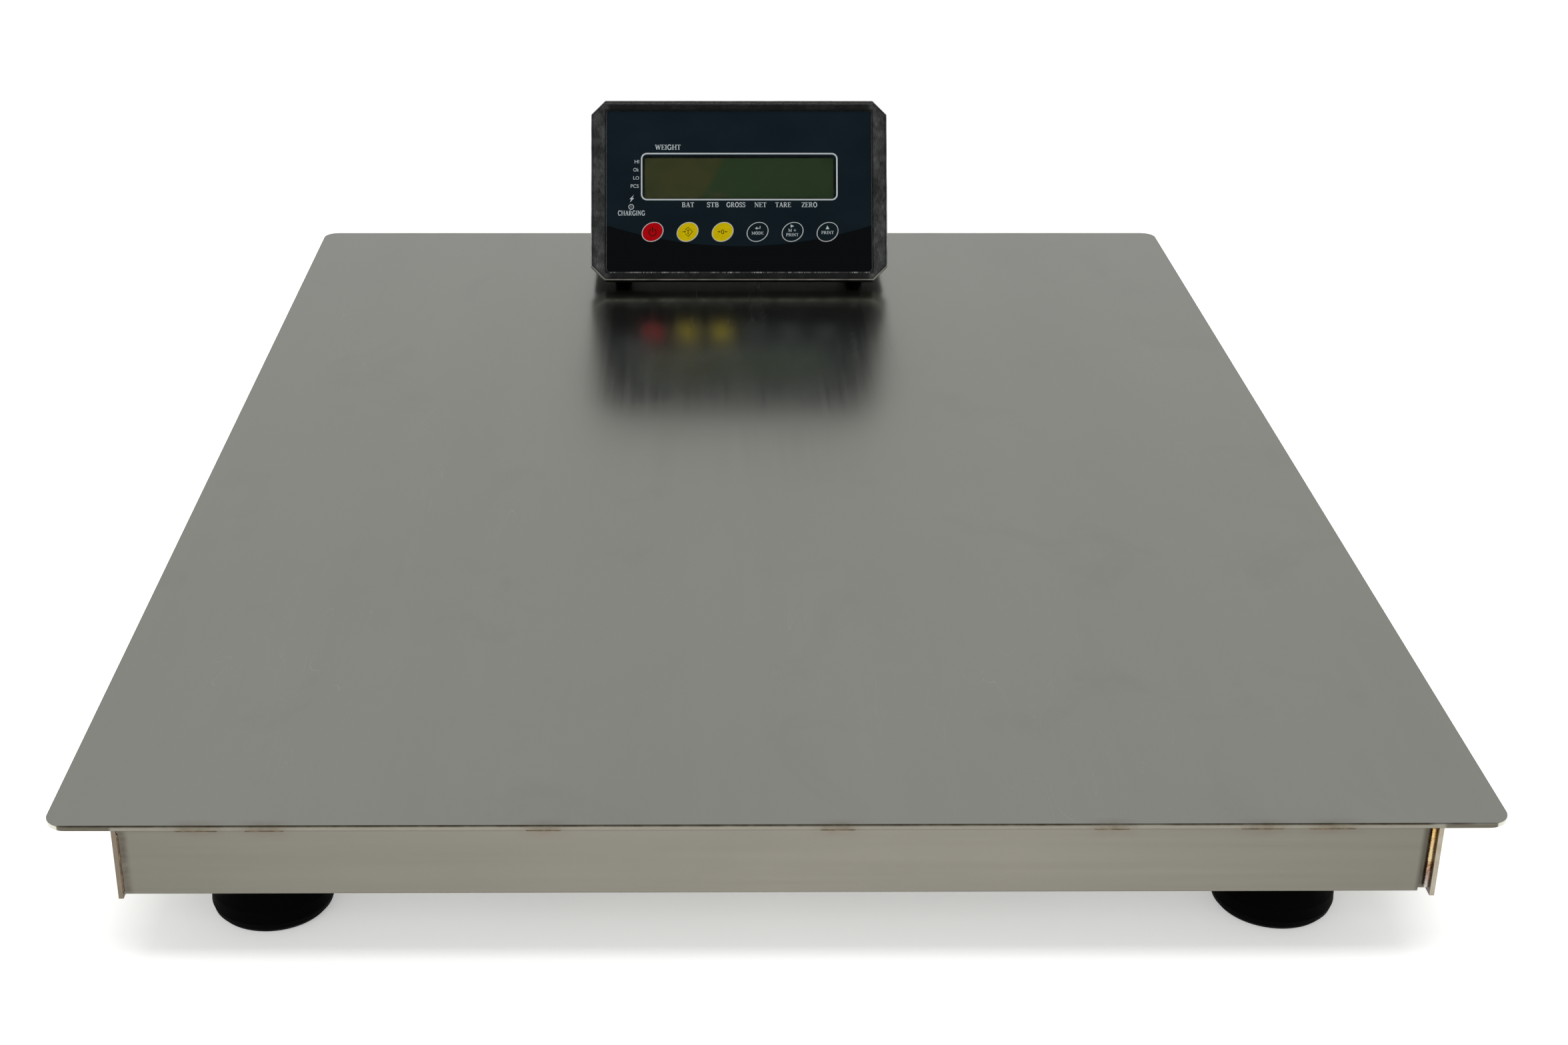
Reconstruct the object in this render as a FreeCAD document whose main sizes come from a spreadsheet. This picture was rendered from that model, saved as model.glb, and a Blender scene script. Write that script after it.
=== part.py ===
import FreeCAD, Part
import os
import math
import Sketcher

# Platform shipping scale: a low stainless steel platform on four levelling
# feet, each screwed into a shear-beam load cell, with a free-standing wedge
# shaped weight indicator that rests on the deck near the back edge.
# Frame: origin on the floor under the middle of the deck, +X to the right of
# the person who reads the indicator, +Y to the back, +Z up. Millimetres.

App = FreeCAD
Vec = App.Vector
doc = App.newDocument("PlatformScale")
sheet = doc.addObject("Spreadsheet::Sheet", "Dims")
sheet.Label = "Dims"


class Size:
    """A number that knows the sheet expression it comes from."""

    def __init__(self, num, text):
        self.num = float(num)
        self.text = text

    @staticmethod
    def of(other):
        if isinstance(other, Size):
            return other
        return Size(other, "(%s)" % repr(round(float(other), 6)))

    def __add__(self, o):
        o = Size.of(o)
        return Size(self.num + o.num, "(%s + %s)" % (self.text, o.text))

    def __radd__(self, o):
        return Size.of(o) + self

    def __sub__(self, o):
        o = Size.of(o)
        return Size(self.num - o.num, "(%s - %s)" % (self.text, o.text))

    def __rsub__(self, o):
        return Size.of(o) - self

    def __mul__(self, o):
        o = Size.of(o)
        return Size(self.num * o.num, "(%s * %s)" % (self.text, o.text))

    def __rmul__(self, o):
        return Size.of(o) * self

    def __truediv__(self, o):
        o = Size.of(o)
        return Size(self.num / o.num, "(%s / %s)" % (self.text, o.text))

    def __neg__(self):
        return Size(-self.num, "(0 - %s)" % self.text)


row = [0]


def cell(name, value):
    row[0] += 1
    sheet.set("A%d" % row[0], name)
    sheet.set("B%d" % row[0], repr(float(value)))
    sheet.setAlias("B%d" % row[0], name)
    return Size(value, "Dims.%s" % name)


def sin(a):
    return Size(math.sin(math.radians(a.num)), "sin(%s * 1deg)" % a.text)


def cos(a):
    return Size(math.cos(math.radians(a.num)), "cos(%s * 1deg)" % a.text)


# ---- driving dimensions ---------------------------------------------------
deck_w = cell("deck_width", 750)
deck_l = cell("deck_length", 1000)
deck_t = cell("deck_thickness", 3)
deck_r = cell("deck_corner", 12)
deck_top = cell("deck_top", 84)
rail_x = cell("rail_outer", 340)
rail_t = cell("rail_thickness", 2.5)
rail_end = cell("rail_half_length", 499.4)
rail_low = cell("rail_bottom", 40)
flange = cell("rail_flange", 25)
flange_end = cell("flange_half_length", 470)
apron_y = cell("apron_face", 499)
apron_t = cell("apron_thickness", 2.5)
apron_x = cell("apron_half_face", 331)
joggle = cell("apron_step", 4)
apron_low = cell("apron_bottom", 42)
apron_fl = cell("apron_flange", 20)
cross_w = cell("cross_width", 40)
cross_h = cell("cross_depth", 30)
cross_t = cell("cross_thickness", 2.5)
cross_y = cell("cross_spacing", 300)
cross_x = cell("cross_half_span", 311.5)
bar_t = cell("bar_thickness", 5)
bar_h = cell("bar_depth", 28)
bar_x = cell("bar_spacing", 200)
foot_x = cell("foot_offset_x", 272)
foot_y = cell("foot_offset_y", 443)
foot_r = cell("foot_radius", 33)
foot_h = cell("foot_height", 30)
cup_r = cell("cup_radius", 20)
stud_r = cell("stud_radius", 5.95)
stud_top = cell("stud_top", 68)
nut_h = cell("nut_height", 7)
nut_af = cell("nut_across_corners", 21.9)
cell_l = cell("beam_length", 130)
cell_w = cell("beam_width", 25.4)
cell_h = cell("beam_depth", 25.4)
cell_top = cell("beam_top", 72)
cell_tip = cell("beam_tip_margin", 15)
hole_a = cell("bolt_hole_first", 80)
hole_b = cell("bolt_hole_second", 105)
lead_r = cell("lead_radius", 2.5)
lead_x = cell("lead_run", 125)
lead_z = cell("lead_level", 60)
jb_w = cell("junction_width", 120)
jb_l = cell("junction_length", 80)
jb_h = cell("junction_depth", 30)
jb_t = cell("junction_wall", 2.5)
jb_y = cell("junction_offset", 150)
ind_x = cell("indicator_offset", -4)
face_y = cell("face_foot_y", 339)
face_gap = cell("face_gap", 9)
lean = cell("lean_back", 27.8)
face_w = cell("face_width", 250)
face_h = cell("face_height", 153)
face_c = cell("face_corner", 12)
sheet_t = cell("bezel_sheet", 1.5)
skirt = cell("bezel_depth", 11)
win_w = cell("panel_width", 224)
win_lo = cell("panel_low", 7)
win_hi = cell("panel_high", 144.2)
lcd_w = cell("display_width", 162)
lcd_lo = cell("display_low", 69)
lcd_hi = cell("display_high", 105.5)
key_v = cell("key_row", 41)
key_u = cell("key_first", -73)
key_p = cell("key_pitch", 29.5)
key_a = cell("key_long_radius", 9.5)
key_b = cell("key_short_radius", 7.9)
key_tilt = cell("key_tilt", 32)
led_u = cell("lamp_u", -91)
led_v = cell("lamp_v", 62.3)
back_y = cell("housing_back", 436)
wall = cell("housing_wall", 1.2)
doc.recompute()

deck_low = deck_top - deck_t
nodes = {}


# ---- helpers --------------------------------------------------------------
def bind(obj, prop, value):
    if isinstance(value, Size):
        obj.setExpression(prop, value.text)


def place(obj, x=0, y=0, z=0, axis=None, angle=0):
    x, y, z = Size.of(x), Size.of(y), Size.of(z)
    rot = App.Rotation()
    if axis is not None:
        ang = Size.of(angle)
        rot = App.Rotation(Vec(*axis), ang.num)
    obj.Placement = App.Placement(Vec(x.num, y.num, z.num), rot)
    bind(obj, "Placement.Base.x", x)
    bind(obj, "Placement.Base.y", y)
    bind(obj, "Placement.Base.z", z)
    if axis is not None and isinstance(angle, Size):
        bind(obj, "Placement.Rotation.Angle", Size(angle.num, "%s * 1deg" % angle.text))


def origin_plane(body, role):
    for f in body.Origin.OriginFeatures:
        if f.Role == role:
            return f
    raise RuntimeError("no plane " + role)


def new_body(name):
    body = doc.addObject("PartDesign::Body", name)
    body.Label = name
    return body


serial = [0]


def new_sketch(body, role, offset=0.0):
    serial[0] += 1
    sk = body.newObject("Sketcher::SketchObject", "sketch_%03d" % serial[0])
    sk.AttachmentSupport = [(origin_plane(body, role), "")]
    sk.MapMode = "FlatFace"
    off = Size.of(offset)
    sk.AttachmentOffset = App.Placement(Vec(0, 0, off.num), App.Rotation())
    sk.setExpression("AttachmentOffset.Base.z", off.text)
    return sk


def fix_point(sk, geo, pos, x, y):
    k = sk.addConstraint(Sketcher.Constraint("DistanceX", -1, 1, geo, pos, x.num))
    sk.setExpression("Constraints[%d]" % k, x.text)
    k = sk.addConstraint(Sketcher.Constraint("DistanceY", -1, 1, geo, pos, y.num))
    sk.setExpression("Constraints[%d]" % k, y.text)


def polygon(sk, points):
    pts = [(Size.of(x), Size.of(y)) for x, y in points]
    base = sk.GeometryCount
    n = len(pts)
    for i in range(n):
        a, b = pts[i], pts[(i + 1) % n]
        sk.addGeometry(Part.LineSegment(Vec(a[0].num, a[1].num, 0), Vec(b[0].num, b[1].num, 0)), False)
    for i in range(n):
        sk.addConstraint(Sketcher.Constraint("Coincident", base + i, 2, base + (i + 1) % n, 1))
    for i in range(n):
        fix_point(sk, base + i, 1, pts[i][0], pts[i][1])


def rectangle(sk, x0, y0, x1, y1):
    polygon(sk, [(x0, y0), (x1, y0), (x1, y1), (x0, y1)])


def circle(sk, x, y, r):
    x, y, r = Size.of(x), Size.of(y), Size.of(r)
    g = sk.addGeometry(Part.Circle(Vec(x.num, y.num, 0), Vec(0, 0, 1), r.num), False)
    fix_point(sk, g, 3, x, y)
    k = sk.addConstraint(Sketcher.Constraint("Radius", g, r.num))
    sk.setExpression("Constraints[%d]" % k, r.text)


def ellipse(sk, x, y, a, b, tilt):
    x, y, a, b, tilt = [Size.of(q) for q in (x, y, a, b, tilt)]
    ct, st = math.cos(math.radians(tilt.num)), math.sin(math.radians(tilt.num))
    c = Vec(x.num, y.num, 0)
    g = sk.addGeometry(Part.Ellipse(c + Vec(ct, st, 0) * a.num, c + Vec(-st, ct, 0) * b.num, c), False)
    sk.exposeInternalGeometry(g)
    fix_point(sk, g, 3, x, y)
    k = sk.addConstraint(Sketcher.Constraint("Distance", g + 1, 1, g + 1, 2, 2 * a.num))
    sk.setExpression("Constraints[%d]" % k, (a * 2).text)
    k = sk.addConstraint(Sketcher.Constraint("Distance", g + 2, 1, g + 2, 2, 2 * b.num))
    sk.setExpression("Constraints[%d]" % k, (b * 2).text)


def pad(body, sk, length):
    serial[0] += 1
    p = body.newObject("PartDesign::Pad", "pad_%03d" % serial[0])
    p.Profile = sk
    length = Size.of(length)
    p.Length = length.num
    p.setExpression("Length", length.text)
    sk.Visibility = False
    doc.recompute()
    return p


def pocket(body, sk, depth, other_way=False):
    before = body.Shape.Volume
    serial[0] += 1
    p = body.newObject("PartDesign::Pocket", "pocket_%03d" % serial[0])
    p.Profile = sk
    depth = Size.of(depth)
    p.Length = depth.num
    p.setExpression("Length", depth.text)
    p.Reversed = other_way
    doc.recompute()
    if not body.Shape.Volume < before - 1e-3:
        raise RuntimeError("pocket cuts nothing in " + body.Label)
    return p


def round_edges(body, pick, radius, kind="Fillet"):
    feat = body.Tip
    names = []
    for i, e in enumerate(feat.Shape.Edges):
        m = e.valueAt((e.FirstParameter + e.LastParameter) / 2.0)
        t = e.tangentAt((e.FirstParameter + e.LastParameter) / 2.0)
        if pick(m, t):
            names.append("Edge%d" % (i + 1))
    if not names:
        raise RuntimeError("no edges to round in " + body.Label)
    serial[0] += 1
    f = body.newObject("PartDesign::" + kind, "%s_%03d" % (kind.lower(), serial[0]))
    f.Base = (feat, names)
    radius = Size.of(radius)
    prop = "Radius" if kind == "Fillet" else "Size"
    setattr(f, prop, radius.num)
    f.setExpression(prop, radius.text)
    doc.recompute()
    return f


def turned(name, profile, x=0, y=0, z=0, axis=None, angle=0):
    """A turned piece: (radius, level) points revolved about its own Z."""
    body = new_body(name)
    sk = new_sketch(body, "XZ_Plane")
    polygon(sk, profile)
    serial[0] += 1
    rev = body.newObject("PartDesign::Revolution", "turn_%03d" % serial[0])
    rev.Profile = sk
    rev.ReferenceAxis = (sk, ["V_Axis"])
    rev.Angle = 360
    doc.recompute()
    place(body, x, y, z, axis, angle)
    return body


def keep(obj, name):
    obj.Label = name
    nodes[name] = obj
    return obj


def mirrored(source, name, normal):
    serial[0] += 1
    m = doc.addObject("Part::Mirroring", "mirror_%03d" % serial[0])
    m.Source = source
    m.Normal = Vec(*normal)
    m.Base = Vec(0, 0, 0)
    m.Label = name
    return m


def group(name, members):
    c = doc.addObject("Part::Compound", name)
    c.Links = members
    return keep(c, name)


def four_corners(source):
    """The piece at the front left corner, and its three mirror images."""
    a = mirrored(source, source.Label + "_b", (1, 0, 0))
    b = mirrored(source, source.Label + "_c", (0, 1, 0))
    c = mirrored(a, source.Label + "_d", (0, 1, 0))
    return [source, a, b, c]


def box(name, x0, y0, z0, x1, y1, z1):
    b = doc.addObject("Part::Box", name)
    b.Label = name
    x0, y0, z0, x1, y1, z1 = [Size.of(q) for q in (x0, y0, z0, x1, y1, z1)]
    for prop, lo, hi in (("Length", x0, x1), ("Width", y0, y1), ("Height", z0, z1)):
        d = hi - lo
        setattr(b, prop, d.num)
        b.setExpression(prop, d.text)
    place(b, x0, y0, z0)
    return b


def cylinder(name, x, y, z, r, h, axis=None, angle=0):
    c = doc.addObject("Part::Cylinder", name)
    c.Label = name
    r, h = Size.of(r), Size.of(h)
    c.Radius, c.Height = r.num, h.num
    c.setExpression("Radius", r.text)
    c.setExpression("Height", h.text)
    place(c, x, y, z, axis, angle)
    return c


def hexagon(name, x, y, z, corner_r, h):
    p = doc.addObject("Part::Prism", name)
    p.Label = name
    p.Polygon = 6
    corner_r, h = Size.of(corner_r), Size.of(h)
    p.Circumradius, p.Height = corner_r.num, h.num
    p.setExpression("Circumradius", corner_r.text)
    p.setExpression("Height", h.text)
    place(p, x, y, z)
    return p


def cut(name, base, tool):
    c = doc.addObject("Part::Cut", name)
    c.Label = name
    c.Base, c.Tool = base, tool
    return c


def fuse(name, a, b):
    c = doc.addObject("Part::Fuse", name)
    c.Label = name
    c.Base, c.Tool = a, b
    return c


def common(name, a, b):
    c = doc.addObject("Part::Common", name)
    c.Label = name
    c.Base, c.Tool = a, b
    return c


# ---- deck plate -----------------------------------------------------------
b = new_body("deck_plate")
sk = new_sketch(b, "XY_Plane", deck_low)
rectangle(sk, -deck_w / 2, -deck_l / 2, deck_w / 2, deck_l / 2)
pad(b, sk, deck_t)
round_edges(b, lambda m, t: abs(t.z) > 0.99, deck_r)
round_edges(b, lambda m, t: m.z > deck_top.num - 0.01, 0.6)
round_edges(b, lambda m, t: m.z < deck_top.num - deck_t.num + 0.01, 0.5)
keep(b, "deck_plate")

# ---- side rails: a folded channel under each long edge ---------------------
b = new_body("right_side_rail")
sk = new_sketch(b, "XZ_Plane", -rail_end)
polygon(sk, [(rail_x - rail_t, rail_low), (rail_x, rail_low), (rail_x, deck_low), (rail_x - rail_t, deck_low)])
pad(b, sk, rail_end * 2)
sk = new_sketch(b, "XZ_Plane", -flange_end)
rectangle(sk, rail_x - rail_t - flange, rail_low, rail_x - rail_t / 2, rail_low + rail_t)
pad(b, sk, flange_end * 2)
sk = new_sketch(b, "XZ_Plane", -flange_end)
rectangle(sk, rail_x - rail_t - flange, deck_low - rail_t, rail_x - rail_t / 2, deck_low)
pad(b, sk, flange_end * 2)
keep(b, "right_side_rail")
left_blank = mirrored(b, "left_rail_blank", (1, 0, 0))
out_y = cell("outlet_position", 245)
hole = cylinder("outlet_hole", -rail_x - 5, out_y, lead_z, 8.2, 12, (0, 1, 0), 90)
keep(cut("left_side_rail", left_blank, hole), "left_side_rail")

# ---- front and rear aprons -------------------------------------------------
b = new_body("front_apron")
span = rail_x - rail_t - 0.2
fy = -apron_y
by = -apron_y + apron_t
# the left end runs flush to the side rail; the right end steps back behind it
sk = new_sketch(b, "XY_Plane", apron_low)
polygon(sk, [(-span, fy), (apron_x, fy), (apron_x, fy + joggle), (span, fy + joggle), (span, by + joggle),
             (apron_x - apron_t, by + joggle), (apron_x - apron_t, by), (-span, by)])
pad(b, sk, deck_low - apron_low)
sk = new_sketch(b, "XY_Plane", apron_low)
rectangle(sk, -apron_x + apron_t + 2, by - 1, apron_x - apron_t - 2, by + apron_fl)
pad(b, sk, apron_t)
round_edges(b, lambda m, t: abs(t.x) > 0.99 and m.y < -apron_y.num + 0.01 and m.z < apron_low.num + 0.01, 1.6)
keep(b, "front_apron")
keep(mirrored(b, "rear_apron", (0, 1, 0)), "rear_apron")

# ---- cross members: channels, open towards the deck ------------------------
def cross_member(name, y):
    b = new_body(name)
    sk = new_sketch(b, "YZ_Plane", -cross_x)
    lo, hi = deck_low - cross_h, deck_low
    y0, y1 = y - cross_w / 2, y + cross_w / 2
    polygon(sk, [(y0, lo), (y1, lo), (y1, hi), (y1 - cross_t, hi), (y1 - cross_t, lo + cross_t),
                 (y0 + cross_t, lo + cross_t), (y0 + cross_t, hi), (y0, hi)])
    pad(b, sk, cross_x * 2)
    sk = new_sketch(b, "XZ_Plane", -(y1 + 1))
    circle(sk, lead_x, lead_z, 6.5)
    circle(sk, -lead_x, lead_z, 6.5)
    pocket(b, sk, cross_w + 2, True)
    return keep(b, name)


cross_member("front_cross_member", -cross_y)
cross_member("middle_cross_member", cross_y * 0)
cross_member("rear_cross_member", cross_y)

# ---- stiffener bars on edge under the deck ---------------------------------
gap = cross_w / 2 + 0.2
bars = []
for tag, bx, y0, y1 in (
        ("a", -bar_x, -cross_y + gap, -gap), ("b", bar_x, -cross_y + gap, -gap),
        ("c", -bar_x, gap, out_y - 25), ("d", bar_x, gap, out_y - 25),
        ("e", bar_x * 0, -cross_y + gap, -gap),
        ("f", bar_x * 0, -apron_y + apron_fl + 6, -cross_y - gap),
        ("g", bar_x * 0, cross_y + gap, apron_y - apron_fl - 6)):
    bars.append(box("bar_" + tag, bx - bar_t / 2, y0, deck_low - bar_h, bx + bar_t / 2, y1, deck_low))
group("stiffener_bars", bars)

# ---- weld beads ------------------------------------------------------------
bead = cell("bead_radius", 2.6)
welds = []
by = -apron_y + joggle
one = cylinder("bead_rod", -rail_x + rail_t, by, apron_low + 0.5, bead, deck_low - apron_low - 1)
block = box("bead_block", -rail_x + rail_t, by - 4, apron_low, -rail_x + rail_t + 4, by, deck_low)
right = mirrored(common("bead_corner", one, block), "bead_right", (1, 0, 0))
one = cylinder("seam_rod", -rail_x + rail_t, -apron_y, apron_low + 1.5, bead * 0.35, deck_low - apron_low - 3)
block = box("seam_block", -rail_x + rail_t, -apron_y - 4, apron_low, -rail_x + rail_t + 4, -apron_y, deck_low)
left = common("seam_corner", one, block)
welds += [right, mirrored(right, "bead_right_rear", (0, 1, 0)), left, mirrored(left, "seam_left_rear", (0, 1, 0))]
stitches = [(-297, 22), (-262, 20), (-120, 18), (30, 18), (170, 18), (247, 22), (283, 24)]
for i, (cx, ln) in enumerate(stitches):
    rod = cylinder("stitch_rod_%d" % i, cx - ln / 2.0, -apron_y, deck_low, bead * 0.35, ln, (0, 1, 0), 90)
    blk = box("stitch_block_%d" % i, cx - ln, -apron_y - 4, deck_low - 4, cx + ln, -apron_y, deck_low)
    st = common("stitch_%d" % i, rod, blk)
    welds.append(st)
    welds.append(mirrored(st, "stitch_rear_%d" % i, (0, 1, 0)))
group("weld_beads", welds)

# ---- load cells, their mounting plates and bolts ---------------------------
# Each beam lies across the platform with its loaded end over the foot.
tip = foot_x + cell_tip
root = tip - cell_l


def load_cell(name, sx, sy):
    b = new_body(name)
    sk = new_sketch(b, "XY_Plane", cell_top - cell_h)
    rectangle(sk, 0, -cell_w / 2, cell_l, cell_w / 2)
    pad(b, sk, cell_h)
    sk = new_sketch(b, "XY_Plane", cell_top)
    circle(sk, cell_tip, 0, 6.0)
    circle(sk, cell_tip + hole_a, 0, 5.2)
    circle(sk, cell_tip + hole_b, 0, 5.2)
    pocket(b, sk, cell_h + 1)
    for off, rev in ((-cell_w / 2, False), (cell_w / 2, True)):
        sk = new_sketch(b, "XZ_Plane", off if rev else off)
        circle(sk, cell_tip + 40, cell_top - cell_h / 2, 9)
        pocket(b, sk, 9, not rev)
    round_edges(b, lambda m, t: abs(t.z) > 0.99 and (m.x < 0.01 or m.x > cell_l.num - 0.01), 2)
    if sx < 0:
        place(b, -tip, foot_y * sy, 0)
    else:
        place(b, tip, foot_y * sy, 0, (0, 0, 1), 180)
    return keep(b, name)


load_cell("front_left_load_cell", -1, -1)
load_cell("front_right_load_cell", 1, -1)
load_cell("rear_left_load_cell", -1, 1)
load_cell("rear_right_load_cell", 1, 1)

b = new_body("mounting_plate_blank")
sk = new_sketch(b, "XY_Plane", cell_top + 3)
rectangle(sk, -root - 50, -foot_y - 30, -root + 6, -foot_y + 30)
pad(b, sk, deck_low - cell_top - 3)
sk = new_sketch(b, "XY_Plane", cell_top)
rectangle(sk, -root - 46, -foot_y - cell_w / 2, -root, -foot_y + cell_w / 2)
pad(b, sk, 4)
sk = new_sketch(b, "XY_Plane", deck_low + 1)
circle(sk, -tip + cell_tip + hole_a, -foot_y, 5.2)
circle(sk, -tip + cell_tip + hole_b, -foot_y, 5.2)
pocket(b, sk, 20)
group("load_cell_mounting_plates", four_corners(b))

bolts = []
for i, along in enumerate((hole_a, hole_b)):
    x = -tip + cell_tip + along
    head = hexagon("bolt_head_%d" % i, x, -foot_y, cell_top - cell_h - 6.4, 9.0, 6.4)
    shank = cylinder("bolt_shank_%d" % i, x, -foot_y, cell_top - cell_h - 1, 5.0, deck_low - cell_top + cell_h - 0.5)
    bolts += four_corners(fuse("bolt_%d" % i, head, shank))
group("load_cell_bolts", bolts)

nut = cut("nut_one", hexagon("nut_hex", -foot_x, -foot_y, cell_top - cell_h - nut_h, nut_af / 2, nut_h),
          cylinder("nut_bore", -foot_x, -foot_y, cell_top - cell_h - nut_h - 1, 6.0, nut_h + 2))
group("jam_nuts", four_corners(nut))

# ---- levelling feet --------------------------------------------------------
cup_low = foot_h - 8
for tag, sx, sy in (("front_left", -1, -1), ("front_right", 1, -1), ("rear_left", -1, 1), ("rear_right", 1, 1)):
    x, y = foot_x * sx, foot_y * sy
    keep(turned(tag + "_rubber_foot",
                [(0, 1.5), (foot_r - 13, 1.5), (foot_r - 11, 0), (foot_r - 6, 0), (foot_r - 3, 1.2), (foot_r - 1, 3.6), (foot_r, 7), (foot_r - 0.4, 14),
                 (foot_r - 3.5, foot_h - 5), (foot_r - 7, foot_h - 0.8), (foot_r - 9, foot_h),
                 (cup_r + 0.0, foot_h), (cup_r + 0.0, cup_low), (0, cup_low)], x, y, 0), tag + "_rubber_foot")
    keep(turned(tag + "_foot_cup",
                [(0, cup_low), (cup_r, cup_low), (cup_r, foot_h + 1), (cup_r - 4.4, foot_h + 1),
                 (cup_r - 4.4, cup_low + 3), (0, cup_low + 3)], x, y, 0), tag + "_foot_cup")
    flat = turned(tag + "_stud_round",
                  [(0, cup_low + 3), (15, cup_low + 3), (15, foot_h - 0.5), (stud_r, foot_h - 0.5),
                   (stud_r, stud_top - 1.2), (stud_r - 1.2, stud_top), (0, stud_top)], x, y, 0)
    hexa = hexagon(tag + "_stud_hex", x, y, foot_h - 1, 9.8, 6.5)
    keep(fuse(tag + "_levelling_stud", flat, hexa), tag + "_levelling_stud")

# ---- junction box under the deck -------------------------------------------
b = new_body("junction_box")
sk = new_sketch(b, "XY_Plane", deck_low - jb_h)
rectangle(sk, -jb_w / 2, jb_y - jb_l / 2, jb_w / 2, jb_y + jb_l / 2)
pad(b, sk, jb_h)
round_edges(b, lambda m, t: abs(t.z) > 0.99, 5)
sk = new_sketch(b, "XY_Plane", deck_low - jb_t)
rectangle(sk, -jb_w / 2 + jb_t, jb_y - jb_l / 2 + jb_t, jb_w / 2 - jb_t, jb_y + jb_l / 2 - jb_t)
pocket(b, sk, jb_h)
sk = new_sketch(b, "YZ_Plane", -jb_w / 2 - 1)
circle(sk, jb_y - 20, lead_z, 6)
circle(sk, jb_y + 20, lead_z, 6)
pocket(b, sk, jb_w + 2, True)
sk = new_sketch(b, "XZ_Plane", -(jb_y + jb_l / 2 + 1))
circle(sk, -30, lead_z, 6)
pocket(b, sk, 8, True)
keep(b, "junction_box")
b = new_body("junction_box_lid")
sk = new_sketch(b, "XY_Plane", deck_low - jb_h - 3)
rectangle(sk, -jb_w / 2 - 0.5, jb_y - jb_l / 2 - 0.5, jb_w / 2 + 0.5, jb_y + jb_l / 2 + 0.5)
pad(b, sk, 3)
round_edges(b, lambda m, t: abs(t.z) > 0.99, 5.5)
keep(b, "junction_box_lid")
pins = []
for i, (sx, sy) in enumerate(((-1, -1), (1, -1), (1, 1), (-1, 1))):
    pins.append(cylinder("lid_screw_%d" % i, (jb_w / 2 - 6) * sx, jb_y + (jb_l / 2 - 6) * sy,
                         deck_low - jb_h - 3 - 2.2, 3.4, 2.2))
group("junction_box_screws", pins)
keep(box("summing_board", -44, jb_y - 26, deck_low - 11, 44, jb_y + 26, deck_low - 9.4), "summing_board")

gland_profile = [(lead_r + 0.05, -5), (5.9, -5), (5.9, 0), (9, 0), (9, 6), (7.6, 6.4), (7.6, 13), (5.5, 16), (lead_r + 0.05, 16)]
glands = []
for i, (sx, dy) in enumerate(((-1, -20), (1, -20), (-1, 20), (1, 20))):
    glands.append(turned("box_gland_%d" % i, gland_profile, jb_w / 2 * sx, jb_y + dy, lead_z, (0, 1, 0), 90 * sx))
glands.append(turned("box_gland_4", gland_profile, -30, jb_y + jb_l / 2, lead_z, (1, 0, 0), -90))
group("junction_box_glands", glands)
keep(turned("output_cable_gland",
            [(lead_r + 0.05, -8), (8.1, -8), (8.1, 0), (12, 0), (12, 7), (10.4, 7.6), (10.4, 16), (7.6, 20),
             (lead_r + 0.05, 20)], -rail_x, out_y, lead_z, (0, 1, 0), -90), "output_cable_gland")

# ---- leads, held by clips all the way --------------------------------------
def route_wire(points):
    """Straight runs joined by tangent arcs."""
    pts = [Vec(*p) for p in points]
    edges = []
    here = pts[0]
    radii = []
    for i in range(1, len(pts) - 1):
        a, p, c = pts[i - 1], pts[i], pts[i + 1]
        d0, d1 = (p - a).normalize(), (c - p).normalize()
        turn = d0.getAngle(d1)
        short = min((p - a).Length, (c - p).Length)
        r = 0.45 * short / math.tan(turn / 2)
        back = r * math.tan(turn / 2)
        s, e = p - d0 * back, p + d1 * back
        inward = (d1 - d0).normalize()
        centre = p + inward * (r / math.cos(turn / 2))
        mid = centre - inward * r
        edges.append(Part.LineSegment(here, s).toShape())
        edges.append(Part.Arc(s, mid, e).toShape())
        here = e
        radii.append(round(r, 1))
    edges.append(Part.LineSegment(here, pts[-1]).toShape())
    return Part.Wire(edges), radii


def lead_shape(points, r):
    wire, radii = route_wire(points)
    first = Vec(*points[0])
    way = (Vec(*points[1]) - first).normalize()
    ring = Part.Wire([Part.Circle(first, way, r).toShape()])
    tube = wire.makePipeShell([ring], True, False)
    area = math.pi * r * r
    print("lead radii", radii, "volume ratio", round(tube.Volume / (area * wire.Length), 4))
    return tube


lx, lz, fy, jy = lead_x.num, lead_z.num, foot_y.num, jb_y.num
inner = root.num
jx = jb_w.num / 2
tubes = []
for sx in (-1, 1):
    tubes.append(lead_shape([(inner * sx, -fy, lz), (lx * sx, -fy, lz), (lx * sx, jy - 20, lz), (jx * sx - 5 * sx, jy - 20, lz)], lead_r.num))
    tubes.append(lead_shape([(inner * sx, fy, lz), (lx * sx, fy, lz), (lx * sx, jy + 20, lz), (jx * sx - 5 * sx, jy + 20, lz)], lead_r.num))
tubes.append(lead_shape([(-30, jy + jb_l.num / 2 - 5, lz), (-30, out_y.num, lz), (-rail_x.num - 12, out_y.num, lz)], lead_r.num))
leads = doc.addObject("Part::Feature", "internal_leads")
leads.Shape = Part.makeCompound(tubes)
leads.Placement = App.Placement()
keep(leads, "internal_leads")

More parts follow.
